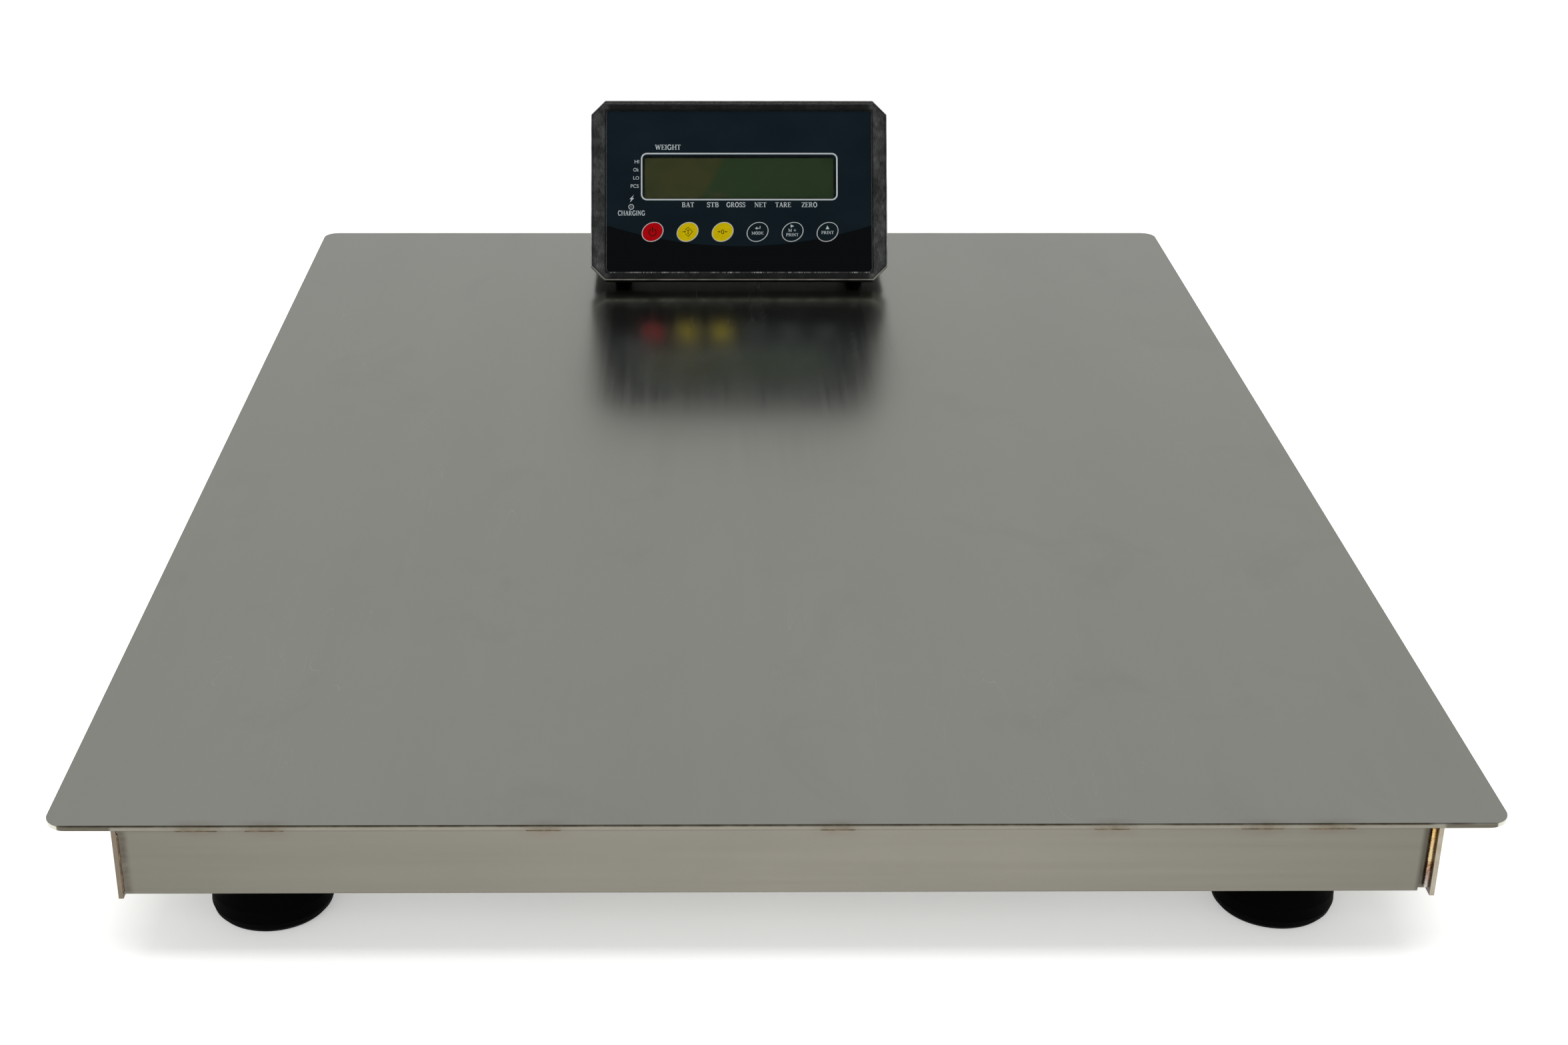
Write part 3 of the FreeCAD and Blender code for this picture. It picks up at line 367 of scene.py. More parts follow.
mat_rail = brushed("rail_brushed_steel", (0.40, 0.385, 0.33), (0.31, 0.30, 0.25), "Y", 0.36, 0.06, 0.4, 0.5, 0.6, 0.05,
                   extra=rail_extra)
mat_under = brushed("under_frame_steel", (0.42, 0.41, 0.37), (0.31, 0.30, 0.27), "X", 0.42, 0.07, 0.3, 0.5, 0.8, 0.06)


def weld_mat():
    M = Mat("weld_heat_tint")
    x, y, z = M.split(M.coords())
    n = M.noise(M.coords((240, 240, 240)), 1.0, 4)
    zz = M.add(z, M.range(n, 0.3, 0.7, -0.004, 0.004))
    c = M.mix(M.range(zz, 0.046, 0.054), (0.36, 0.33, 0.30), (0.22, 0.10, 0.06))
    c = M.mix(M.range(zz, 0.054, 0.060), c, (0.55, 0.42, 0.22))
    c = M.mix(M.range(zz, 0.066, 0.074), c, (0.52, 0.33, 0.12))
    c = M.mix(M.range(zz, 0.075, 0.080), c, (0.20, 0.11, 0.06))
    c = M.mix(M.range(n, 0.5, 0.72, 0.0, 0.5), c, (0.70, 0.62, 0.45))
    # only the open bead at the right-hand corners keeps its straw and purple bands; the stitches go dull brown from
    # their tint, and on the left corner bead the dull brown is painted shade of its recess
    c = M.mix(M.range(x, 0.3330, 0.3342, 1.0, 0.0), c, M.mix(M.range(n, 0.42, 0.70), (0.075, 0.052, 0.032), (0.19, 0.135, 0.080)))
    h = M.noise(M.coords((500, 500, 900)), 1.0, 3)
    M.set(color=c, metal=1.0, rough=M.range(n, 0.3, 0.7, 0.22, 0.42), normal=M.bump(h, 0.25, 0.0002))
    return M.m


mat_weld = weld_mat()


def rubber(name, base=0.012, rough=0.62, grain=900.0, spec=0.32):
    M = Mat(name)
    n = M.noise(M.coords((grain, grain, grain)), 1.0, 3, 0.6)
    d = M.noise(M.coords((38, 38, 38)), 1.0, 4, 0.6)
    c = M.mix(M.range(d, 0.42, 0.75), (base, base, base * 1.05), (base * 2.2, base * 2.2, base * 2.1))
    M.set(color=c, rough=M.range(d, 0.3, 0.7, rough - 0.07, rough + 0.08), spec=spec, normal=M.bump(n, 0.22, 0.0002))
    return M.m


mat_foot = rubber("foot_rubber_black", 0.0005, 0.6, 900.0, 0.02)
mat_jacket = rubber("cable_jacket_black", 0.012, 0.45, 700)
mat_seal = rubber("seal_foam_black", 0.015, 0.8, 600)


def plastic(name, color, rough=0.4, texture=1200.0, bump=0.12, spec=0.4, vary=0.12):
    M = Mat(name)
    n = M.noise(M.coords((texture, texture, texture)), 1.0, 2, 0.5)
    d = M.noise(M.coords((22, 22, 22)), 1.0, 5, 0.6)
    a = tuple(q * (1 - vary) for q in color)
    b = tuple(min(1, q * (1 + vary)) for q in color)
    c = M.mix(M.range(d, 0.3, 0.7), a, b)
    M.set(color=c, rough=M.range(d, 0.3, 0.7, rough - 0.05, rough + 0.06), spec=spec, normal=M.bump(n, bump, 0.00012))
    return M.m


mat_gland = plastic("gland_nylon_black", (0.02, 0.02, 0.021), 0.42)
mat_clip = plastic("clip_nylon_natural", (0.62, 0.60, 0.54), 0.45)
mat_jbox = plastic("junction_box_grey", (0.24, 0.25, 0.26), 0.48, 800, 0.2)
mat_batt = plastic("battery_case_grey", (0.05, 0.05, 0.055), 0.5)
mat_lamp = plastic("lamp_lens", (0.05, 0.055, 0.06), 0.12, 1200, 0.02, 0.5)


def board():
    M = Mat("board_green")
    x, y, z = M.split(M.coords())
    tr = M.voronoi(M.coords((420, 420, 420)), 1.0)
    ln = M.range(tr, 0.34, 0.36)
    c = M.mix(ln, (0.012, 0.11, 0.045), (0.02, 0.17, 0.07))
    M.set(color=c, rough=0.32, spec=0.5)
    return M.m


mat_board = board()


def plain_steel(name, a, b, rough, scale=60.0, bump=0.1):
    M = Mat(name)
    d = M.noise(M.coords((scale, scale, scale)), 1.0, 5, 0.6)
    f = M.noise(M.coords((1500, 1500, 1500)), 1.0, 2, 0.5)
    M.set(color=M.mix(M.range(d, 0.3, 0.7), a, b), metal=1.0, rough=M.range(d, 0.3, 0.7, rough - 0.06, rough + 0.07),
          normal=M.bump(f, bump, 0.0001))
    return M.m


mat_cell = plain_steel("load_cell_nickel", (0.46, 0.45, 0.42), (0.60, 0.59, 0.55), 0.30)
mat_bolt = plain_steel("bolt_zinc", (0.42, 0.43, 0.45), (0.58, 0.58, 0.58), 0.34, 240)
mat_stud = plain_steel("stud_steel", (0.42, 0.42, 0.41), (0.60, 0.60, 0.58), 0.28, 300)
mat_alu = plain_steel("backing_aluminium", (0.60, 0.60, 0.60), (0.72, 0.72, 0.72), 0.35, 90)

# ---- indicator materials, in the face's own frame
LEAN = math.radians(27.8)
SA, CA = math.sin(LEAN), math.cos(LEAN)
B0 = Vector((-4, 339, 93)) * MM
V_DIR = Vector((0, SA, CA))
N_DIR = Vector((0, -CA, SA))


def F(u, v, n=0.0):
    """face millimetres to row metres"""
    return B0 + Vector((u * MM, 0, 0)) + V_DIR * (v * MM) + N_DIR * (n * MM)


def face_coords(M):
    """u, v, n of the face in millimetres"""
    vec = M.coords()
    x, y, z = M.split(vec)
    u = M.mul(M.math("SUBTRACT", x, B0.x), 1000.0)
    v = M.mul(M.math("SUBTRACT", M.dot(vec, tuple(V_DIR)), V_DIR.dot(B0)), 1000.0)
    n = M.mul(M.math("SUBTRACT", M.dot(vec, tuple(N_DIR)), N_DIR.dot(B0)), 1000.0)
    return u, v, n


def combine(M, x, y, z=0.0):
    n = M.node("ShaderNodeCombineXYZ")
    for i, q in enumerate((x, y, z)):
        M.wire(q, n.inputs[i])
    return n.outputs[0]


def bezel_mat():
    M = Mat("bezel_mottled_steel")
    u, v, n = face_coords(M)
    au = M.math("ABSOLUTE", u)
    av = M.math("ABSOLUTE", M.math("SUBTRACT", v, 76.5))
    uv = combine(M, u, v, n)
    # hand-ground look: short strokes along each leg of the frame; the patchy light and dark over a near-black base is
    # painted reflection of a dark surround
    stroke_v = M.noise(combine(M, M.mul(u, 2.4), M.mul(v, 0.20), M.mul(n, 1.0)), 1.0, 5, 0.7, 0.3)
    stroke_h = M.noise(combine(M, M.mul(u, 0.14), M.mul(v, 2.4), M.mul(n, 1.0)), 1.0, 5, 0.7, 0.3)
    legs = M.range(au, 108.0, 112.0)
    stroke = M.add(M.mul(stroke_v, legs), M.mul(stroke_h, M.math("SUBTRACT", 1.0, legs)))
    patch = M.noise(combine(M, M.mul(u, 0.050), M.mul(v, 0.050), n), 1.0, 4, 0.62, 0.6)
    patch2 = M.noise(combine(M, M.mul(u, 0.16), M.mul(v, 0.10), n), 1.0, 5, 0.7, 0.5)
    grit = M.noise(uv, 4.0, 2, 0.6)
    val = M.add(M.mul(stroke, 0.60), M.mul(patch, 0.45), M.mul(patch2, 0.35), M.mul(grit, 0.16))
    f = M.range(val, 0.60, 1.02)
    f = M.math("POWER", f, 1.7)
    col = M.mix(f, (0.024, 0.025, 0.0240), (0.235, 0.240, 0.230))
    # painted shade: the top and bottom legs, whose strokes run across, are darkened well below the side legs
    flat_legs_shade = M.math("SUBTRACT", 1.0, legs)
    col = M.mix(M.mul(flat_legs_shade, 0.82), col, (0.0125, 0.013, 0.0125))
    # how far in from the outer outline, in millimetres
    edge = M.math("MINIMUM", M.math("MINIMUM", M.math("SUBTRACT", 125.0, au), M.math("SUBTRACT", 76.5, av)),
                  M.mul(M.math("SUBTRACT", M.math("SUBTRACT", 189.5, au), av), 0.7071))
    front = M.range(n, -1.7, -1.1)
    # painted highlight: a bright line on the outer fillet, strongest along the top, bottom and corners, dimmer towards
    # the top
    rim = M.mul(M.range(edge, 0.95, 0.60), M.range(n, -1.35, -1.15))
    corner = M.range(M.add(au, av), 186.0, 189.0)
    bright = M.math("MAXIMUM", corner, M.range(av, 74.5, 76.0))
    wobble = M.range(M.noise(combine(M, M.mul(u, 0.06), M.mul(v, 0.06), 3.0), 1.0, 3), 0.36, 0.60, 0.45, 1.0)
    strength = M.add(0.52, M.mul(bright, 0.46))
    rim_highlight_tone = M.mix(M.range(v, 60.0, 140.0), (0.84, 0.83, 0.76), (0.62, 0.62, 0.58))
    col = M.mix(M.mul(M.mul(rim, strength), wobble), col, rim_highlight_tone)
    # painted highlight: a lighter band along the top edge
    top_edge_highlight = M.mul(M.mul(M.range(v, 149.0, 150.6), front), M.range(M.noise(combine(M, M.mul(u, 0.3), M.mul(v, 0.8), 5.0), 1.0, 4, 0.7), 0.35, 0.65, 0.25, 1.0))
    col = M.mix(M.mul(top_edge_highlight, 0.55), col, (0.30, 0.30, 0.28))
    # painted shade: a dark band just inside the outer highlight
    inner = M.mul(M.mul(M.range(edge, 1.0, 1.5), M.range(edge, 2.6, 1.9)), front)
    col = M.mix(M.mul(inner, 0.45), col, (0.010, 0.010, 0.010))
    # the folded edge round the window: a dark line of painted shade, and a broken painted highlight on its lower run,
    # where the lip faces up
    du = M.math("SUBTRACT", au, 112.0)
    dv = M.math("SUBTRACT", M.math("ABSOLUTE", M.math("SUBTRACT", v, 75.6)), 68.6)
    win = M.math("MAXIMUM", du, dv)
    near_win = M.mul(M.range(win, 1.7, 0.9), front)
    col = M.mix(M.mul(near_win, 0.72), col, (0.010, 0.0105, 0.0105))
    low = M.mul(M.range(v, 7.4, 7.0), M.range(v, 5.7, 6.2))
    low = M.mul(low, M.range(au, 111.0, 107.0))
    lip_highlight_spots = M.range(M.noise(combine(M, M.mul(u, 0.085), 4.0, 1.0), 1.0, 4, 0.7), 0.47, 0.60, 0.12, 1.0)
    fine = M.range(M.noise(combine(M, M.mul(u, 0.9), 2.0, 1.0), 1.0, 3, 0.7), 0.40, 0.62)
    col = M.mix(M.mul(M.mul(low, lip_highlight_spots), fine), col, (0.80, 0.80, 0.76))
    back = M.range(n, -1.4, -2.4)
    col = M.mix(M.mul(back, 0.6), col, (0.20, 0.20, 0.19))
    rg = M.range(patch2, 0.3, 0.7, 0.26, 0.46)
    M.set(color=col, metal=1.0, rough=rg, normal=M.bump(M.add(M.mul(stroke, 0.8), M.mul(grit, 0.4)), 0.22, 0.0001))
    return M.m


mat_bezel = bezel_mat()
def housing_under_shade(M, col):
    x, y, z = M.split(M.coords())
    # painted shade: below the bezel's bottom edge the housing is near black, so the deck under the indicator reflects a
    # dark gap
    return M.mix(M.range(z, 0.0950, 0.0936), col, (0.006, 0.006, 0.0055))


mat_housing = brushed("housing_brushed_steel", (0.36, 0.357, 0.340), (0.27, 0.268, 0.254), "X", 0.34, 0.06, 0.4, 0.5, 0.6, 0.05,
                      extra=housing_under_shade)


def overlay_mat():
    M = Mat("overlay_film")
    u, v, n = face_coords(M)
    curve = M.add(28.8, M.mul(M.mul(u, u), 0.00142))
    low = M.range(M.math("SUBTRACT", curve, v), -0.15, 0.15)
    stripe = M.math("SINE", M.mul(v, 2 * math.pi / 0.92))
    stripe = M.range(stripe, -0.2, 0.9)
    cloud = M.noise(combine(M, M.mul(u, 0.02), M.mul(v, 0.03)), 1.0, 3, 0.5)
    grain = M.noise(combine(M, M.mul(u, 9.0), M.mul(v, 9.0)), 1.0, 2, 0.5)
    up = M.mix(M.range(cloud, 0.3, 0.7), (0.0030, 0.0068, 0.0100), (0.0048, 0.0094, 0.0130))
    dn = M.mix(stripe, (0.0003, 0.0006, 0.0009), (0.0046, 0.0060, 0.0068))
    rim = M.range(M.math("ABSOLUTE", M.math("SUBTRACT", curve, v)), 0.0, 0.45, 1.0, 0.0)
    col = M.mix(low, up, dn)
    col = M.mix(M.mul(rim, 0.5), col, (0.002, 0.0024, 0.003))
    M.set(color=col, rough=M.range(grain, 0.3, 0.7, 0.32, 0.42), spec=0.035,
          normal=M.bump(M.add(M.mul(grain, 0.5), M.mul(M.mul(stripe, low), 0.6)), 0.10, 0.00008))
    return M.m


mat_overlay = overlay_mat()


def key_mat(name, a, b, spec=0.04):
    M = Mat(name)
    u, v, n = face_coords(M)
    g = M.noise(combine(M, M.mul(u, 8.0), M.mul(v, 8.0)), 1.0, 2, 0.5)
    d = M.noise(combine(M, M.mul(u, 0.25), M.mul(v, 0.25)), 1.0, 3, 0.5)
    M.set(color=M.mix(M.range(d, 0.3, 0.7), a, b), rough=M.range(g, 0.3, 0.7, 0.30, 0.42), spec=spec,
          normal=M.bump(g, 0.08, 0.00008))
    return M.m


mat_red = key_mat("key_red_film", (0.27, 0.0002, 0.0016), (0.32, 0.0006, 0.0030))
mat_yellow = key_mat("key_yellow_film", (0.40, 0.305, 0.0001), (0.46, 0.35, 0.0003))
mat_dark = key_mat("key_dark_film", (0.0032, 0.0072, 0.0104), (0.0048, 0.0096, 0.0132), 0.035)


def lcd_mat():
    M = Mat("lcd_panel_green")
    u, v, n = face_coords(M)
    g = M.noise(combine(M, M.mul(u, 5.0), M.mul(v, 5.0)), 1.0, 2, 0.5)
    slant = M.add(u, M.mul(v, -0.55))
    brown = M.range(slant, -66.0, -74.0, 0.0, 1.0, smooth=True)
    warm = M.range(M.noise(combine(M, M.mul(u, 0.05), M.mul(v, 0.07)), 1.0, 4, 0.6, 0.6), 0.3, 0.7)
    green = M.mix(M.range(g, 0.3, 0.7), (0.0150, 0.0290, 0.0105), (0.0195, 0.0350, 0.0135))
    olive = M.mix(warm, (0.0300, 0.0330, 0.0110), (0.0460, 0.0390, 0.0130))
    col = M.mix(M.mul(brown, 0.85), green, olive)
    # a soft smear low on the glass, and a dark border round the edge, painted shade of the recess
    m1 = M.mul(near(M, u, -18.0, 14.0), near(M, v, 72.5, 5.0))
    col = M.mix(M.mul(m1, 0.45), col, (0.050, 0.036, 0.018))
    eu = M.range(M.math("ABSOLUTE", u), 79.2, 80.0)
    ev = M.math("MAXIMUM", M.range(v, 70.4, 69.6), M.range(v, 103.6, 104.4))
    col = M.mix(M.math("MAXIMUM", eu, ev), col, (0.004, 0.005, 0.005))
    M.set(color=col, rough=0.25, spec=0.04, coat=0.0)
    return M.m


mat_lcd = lcd_mat()


def window_mat():
    M = Mat("window_clear")
    g = M.noise(M.coords((300, 300, 300)), 1.0, 2)
    M.set(color=(0.93, 0.96, 0.94), rough=M.range(g, 0.2, 0.8, 0.01, 0.05), spec=0.2, trans=1.0, ior=1.10)
    return M.m


mat_window = window_mat()


def print_mat(name, c, rough=0.45, spec=0.2):
    M = Mat(name)
    g = M.noise(M.coords((4000, 4000, 4000)), 1.0, 2)
    a = tuple(q * 0.9 for q in c)
    M.set(color=M.mix(M.range(g, 0.3, 0.7), a, c), rough=rough, spec=spec)
    return M.m


mat_ink = print_mat("print_light_grey", (0.36, 0.40, 0.42))
mat_silver = print_mat("print_silver", (0.38, 0.41, 0.42))
mat_black_ink = print_mat("print_dark", (0.014, 0.006, 0.003), 0.5, 0.02)


def floor_mat():
    M = Mat("floor_pale")
    n = M.noise(M.coords((1.3, 1.3, 1.3)), 1.0, 4)
    f = M.noise(M.coords((260, 260, 260)), 1.0, 2)
    c = M.mix(M.range(n, 0.3, 0.7), (0.86, 0.86, 0.855), (0.88, 0.88, 0.875))
    M.set(color=c, rough=0.75, spec=0.1, normal=M.bump(f, 0.03, 0.0002), emit=(1.0, 1.0, 0.995, 1.0), emit_s=0.38)
    return M.m


floor.data.materials.append(floor_mat())


def use(name, mat):
    o = nodes[name]
    o.data.materials.clear()
    o.data.materials.append(mat)


plan = {
    "deck_plate": mat_deck, "front_apron": mat_apron, "rear_apron": mat_apron,
    "left_side_rail": mat_rail, "right_side_rail": mat_rail,
    "front_cross_member": mat_under, "middle_cross_member": mat_under, "rear_cross_member": mat_under,
    "stiffener_bars": mat_under, "load_cell_mounting_plates": mat_under, "weld_beads": mat_weld,
    "load_cell_bolts": mat_bolt, "jam_nuts": mat_bolt, "internal_leads": mat_jacket, "lead_clips": mat_clip,
    "junction_box": mat_jbox, "junction_box_lid": mat_jbox, "junction_box_screws": mat_bolt, "summing_board": mat_board,
    "junction_box_glands": mat_gland, "output_cable_gland": mat_gland,
    "front_bezel": mat_bezel, "backing_plate": mat_alu, "keypad_overlay": mat_overlay, "display_window": mat_window,
    "lcd_module": mat_lcd, "keypad_board": mat_board, "charge_lamp": mat_lamp, "main_board": mat_board,
    "board_standoffs": mat_bolt, "battery_pack": mat_batt, "battery_bracket": mat_under, "rear_housing": mat_housing,
    "housing_seal": mat_seal, "housing_screws": mat_bolt, "indicator_feet": mat_foot, "indicator_cable_gland": mat_gland,
    "charger_socket": mat_gland, "power_key": mat_red, "tare_key": mat_yellow, "zero_key": mat_yellow,
    "mode_key": mat_dark, "memory_key": mat_dark, "print_key": mat_dark,
}
for c in ("front_left", "front_right", "rear_left", "rear_right"):
    plan[c + "_load_cell"] = mat_cell
    plan[c + "_rubber_foot"] = mat_foot
    plan[c + "_foot_cup"] = mat_stud
    plan[c + "_levelling_stud"] = mat_stud
for name, mt in plan.items():
    use(name, mt)
for name in nodes:
    if name not in plan:
        raise RuntimeError("no material for " + name)

# ---------------------------------------------------------------- mesh helpers
def finish_mesh(name, bm, mat, body, smooth=False):
    bmesh.ops.recalc_face_normals(bm, faces=bm.faces)
    me = bpy.data.meshes.new(name)
    bm.to_mesh(me)
    bm.free()
    if smooth:
        for p in me.polygons:
            p.use_smooth = True
    o = link(bpy.data.objects.new(name, me))
    me.materials.append(mat)
    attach(o, body)
    return o


def prism(bm, loop, n0, n1):
    """closed loop of face points (u, v) as a thin closed solid"""
    a = [bm.verts.new(F(u, v, n0)) for u, v in loop]
    b = [bm.verts.new(F(u, v, n1)) for u, v in loop]
    bm.faces.new(a[::-1])
    bm.faces.new(b)
    k = len(loop)
    for i in range(k):
        j = (i + 1) % k
        bm.faces.new((a[i], a[j], b[j], b[i]))


def band(bm, outer, inner, n0, n1):
    """ring between two loops with the same number of points"""
    k = len(outer)
    oa = [bm.verts.new(F(u, v, n0)) for u, v in outer]
    ob = [bm.verts.new(F(u, v, n1)) for u, v in outer]
    ia = [bm.verts.new(F(u, v, n0)) for u, v in inner]
    ib = [bm.verts.new(F(u, v, n1)) for u, v in inner]
    for i in range(k):
        j = (i + 1) % k
        bm.faces.new((oa[i], oa[j], ob[j], ob[i]))
        bm.faces.new((ia[j], ia[i], ib[i], ib[j]))
        bm.faces.new((ob[i], ob[j], ib[j], ib[i]))
        bm.faces.new((oa[j], oa[i], ia[i], ia[j]))


def rounded(u0, v0, u1, v1, r, k=8):
    pts = []
    for cx, cy, a0 in ((u1 - r, v1 - r, 0), (u0 + r, v1 - r, 90), (u0 + r, v0 + r, 180), (u1 - r, v0 + r, 270)):
        for i in range(k + 1):
            a = math.radians(a0 + 90 * i / k)
            pts.append((cx + r * math.cos(a), cy + r * math.sin(a)))
    return pts


def oval(cu, cv, a, b, tilt, k=64):
    t = math.radians(tilt)
    return [(cu + a * math.cos(q) * math.cos(t) - b * math.sin(q) * math.sin(t),
             cv + a * math.cos(q) * math.sin(t) + b * math.sin(q) * math.cos(t))
            for q in (2 * math.pi * i / k for i in range(k))]


def arc(cu, cv, r, a0, a1, k=24):
    return [(cu + r * math.cos(math.radians(a0 + (a1 - a0) * i / k)), cv + r * math.sin(math.radians(a0 + (a1 - a0) * i / k)))
            for i in range(k + 1)]


def stroke(bm, pts, w, n0, n1):
    """open line of some width as a closed solid"""
    L, R = [], []
    k = len(pts)
    for i, (x, y) in enumerate(pts):
        x0, y0 = pts[max(i - 1, 0)]
        x1, y1 = pts[min(i + 1, k - 1)]
        dx, dy = x1 - x0, y1 - y0
        d = math.hypot(dx, dy) or 1.0
        nx, ny = -dy / d * w / 2, dx / d * w / 2
        L.append((x + nx, y + ny))
        R.append((x - nx, y - ny))
    a0 = [bm.verts.new(F(u, v, n0)) for u, v in L]
    a1 = [bm.verts.new(F(u, v, n1)) for u, v in L]
    b0 = [bm.verts.new(F(u, v, n0)) for u, v in R]
    b1 = [bm.verts.new(F(u, v, n1)) for u, v in R]
    for i in range(k - 1):
        bm.faces.new((a1[i], a1[i + 1], b1[i + 1], b1[i]))
        bm.faces.new((a0[i + 1], a0[i], b0[i], b0[i + 1]))
        bm.faces.new((a0[i], a0[i + 1], a1[i + 1], a1[i]))
        bm.faces.new((b0[i + 1], b0[i], b1[i], b1[i + 1]))
    bm.faces.new((a0[0], a1[0], b1[0], b0[0]))
    bm.faces.new((a0[-1], b0[-1], b1[-1], a1[-1]))


# serif capitals as thick and thin strokes on a 0..1 high grid; each entry is (points, width)
THICK, THIN, SER = 0.155, 0.075, 0.06


def serif_h(x0, x1, y):
    return ([(x0, y), (x1, y)], SER)


def stem(x, y0=0.0, y1=1.0, w=THICK, both=True):
    out = [([(x, y0), (x, y1)], w)]
    s = 0.15
    out.append(serif_h(x - s, x + s, y0 + SER / 2))
    out.append(serif_h(x - s, x + s, y1 - SER / 2))
    return out


def bow(cx, cy, rx, ry, a0, a1, w=THICK, k=18):
    return ([(cx + rx * math.cos(math.radians(a0 + (a1 - a0) * i / k)), cy + ry * math.sin(math.radians(a0 + (a1 - a0) * i / k)))
             for i in range(k + 1)], w)


GLYPH = {
    "I": (0.36, stem(0.18)),
    "E": (0.66, stem(0.17) + [([(0.17, 0.97), (0.58, 0.97)], SER), ([(0.17, 0.03), (0.60, 0.03)], SER),
                              ([(0.17, 0.52), (0.45, 0.52)], SER), ([(0.57, 1.0), (0.57, 0.80)], SER),
                              ([(0.59, 0.0), (0.60, 0.22)], SER), ([(0.45, 0.62), (0.45, 0.42)], SER)]),
    "T": (0.68, [([(0.34, 0.0), (0.34, 1.0)], THICK), serif_h(0.19, 0.49, SER / 2), ([(0.05, 0.97), (0.63, 0.97)], SER),
                 ([(0.06, 1.0), (0.06, 0.78)], SER), ([(0.62, 1.0), (0.62, 0.78)], SER)]),
    "H": (0.84, stem(0.17) + stem(0.67) + [([(0.17, 0.51), (0.67, 0.51)], THIN)]),
    "N": (0.82, [([(0.16, 0.0), (0.16, 1.0)], THIN), ([(0.66, 0.0), (0.66, 1.0)], THIN), ([(0.16, 0.98), (0.66, 0.04)], THICK),
                 serif_h(0.02, 0.30, SER / 2), serif_h(0.02, 0.22, 1 - SER / 2), serif_h(0.52, 0.80, 1 - SER / 2)]),
    "W": (1.06, [([(0.14, 1.0), (0.34, 0.02)], THICK), ([(0.34, 0.02), (0.54, 0.96)], THIN), ([(0.54, 0.96), (0.74, 0.02)], THICK),
                 ([(0.74, 0.02), (0.94, 1.0)], THIN), serif_h(0.0, 0.28, 1 - SER / 2), serif_h(0.80, 1.06, 1 - SER / 2)]),
    "A": (0.80, [([(0.14, 0.0), (0.39, 1.0)], THIN), ([(0.40, 1.0), (0.65, 0.0)], THICK), ([(0.22, 0.34), (0.56, 0.34)], SER),
                 serif_h(0.01, 0.28, SER / 2), serif_h(0.50, 0.80, SER / 2)]),
    "M": (0.98, [([(0.15, 0.0), (0.15, 1.0)], THIN), ([(0.17, 0.98), (0.47, 0.06)], THICK), ([(0.47, 0.06), (0.78, 0.98)], THIN),
                 ([(0.80, 0.0), (0.80, 1.0)], THICK), serif_h(0.01, 0.29, SER / 2), serif_h(0.66, 0.95, SER / 2),
                 serif_h(0.02, 0.2, 1 - SER / 2), serif_h(0.76, 0.95, 1 - SER / 2)]),
    "Z": (0.66, [([(0.06, 0.97), (0.60, 0.97)], SER), ([(0.58, 0.96), (0.08, 0.04)], THICK), ([(0.06, 0.03), (0.62, 0.03)], SER),
                 ([(0.07, 1.0), (0.07, 0.80)], SER), ([(0.60, 0.0), (0.60, 0.22)], SER)]),
    "O": (0.80, [bow(0.40, 0.5, 0.285, 0.47, 90, 270), bow(0.40, 0.5, 0.285, 0.47, -90, 90), ]),
    "C": (0.76, [bow(0.42, 0.5, 0.30, 0.47, 42, 318), ([(0.66, 1.0), (0.66, 0.72)], SER)]),
    "G": (0.84, [bow(0.42, 0.5, 0.30, 0.47, 42, 312), ([(0.66, 1.0), (0.66, 0.72)], SER), ([(0.67, 0.06), (0.67, 0.42)], THICK),
                 serif_h(0.52, 0.80, 0.44)]),
    "S": (0.60, [([(0.51, 0.80), (0.46, 0.90), (0.36, 0.965), (0.25, 0.965), (0.14, 0.90), (0.10, 0.78), (0.13, 0.66), (0.24, 0.57),
                   (0.36, 0.50), (0.47, 0.42), (0.52, 0.30), (0.50, 0.15), (0.40, 0.05), (0.28, 0.03), (0.16, 0.07), (0.09, 0.20)], 0.12),
                 ([(0.52, 1.0), (0.52, 0.72)], SER), ([(0.08, 0.0), (0.08, 0.27)], SER)]),
    "D": (0.80, stem(0.17) + [bow(0.28, 0.5, 0.40, 0.465, -90, 90, 0.13), ([(0.17, 0.97), (0.30, 0.97)], SER), ([(0.17, 0.03), (0.30, 0.03)], SER)]),
    "B": (0.68, stem(0.17) + [bow(0.30, 0.745, 0.24, 0.225, -90, 90, 0.115), bow(0.30, 0.275, 0.28, 0.245, -90, 90, 0.125),
                              ([(0.17, 0.97), (0.31, 0.97)], SER), ([(0.17, 0.52), (0.31, 0.52)], SER), ([(0.17, 0.03), (0.31, 0.03)], SER)]),
    "P": (0.64, stem(0.17) + [bow(0.30, 0.725, 0.26, 0.245, -90, 90, 0.12), ([(0.17, 0.97), (0.31, 0.97)], SER), ([(0.17, 0.48), (0.31, 0.48)], SER)]),
    "R": (0.76, stem(0.17) + [bow(0.30, 0.735, 0.25, 0.235, -90, 90, 0.12), ([(0.17, 0.97), (0.31, 0.97)], SER), ([(0.17, 0.50), (0.33, 0.50)], SER),
                              ([(0.36, 0.50), (0.60, 0.02)], 0.13), serif_h(0.54, 0.74, SER / 2)]),
    "+": (0.86, [([(0.20, 0.45), (0.82, 0.45)], 0.10), ([(0.51, 0.12), (0.51, 0.78)], 0.10)]),
    " ": (0.4, []),
}


def serif_text(bm, text, u0, u1, v0, v1, n0, n1):
    total = sum(GLYPH[c][0] for c in text)
    sx = (u1 - u0) / total
    sy = v1 - v0
    x = 0.0
    for c in text:
        wdt, strokes = GLYPH[c]
        for pts, w in strokes:
            vertical = abs(pts[0][0] - pts[-1][0]) < abs(pts[0][1] - pts[-1][1])
            ww = w * (0.5 * (sx + sy))
            stroke(bm, [(u0 + (x + px) * sx, v0 + py * sy) for px, py in pts], ww, n0, n1)
        x += wdt


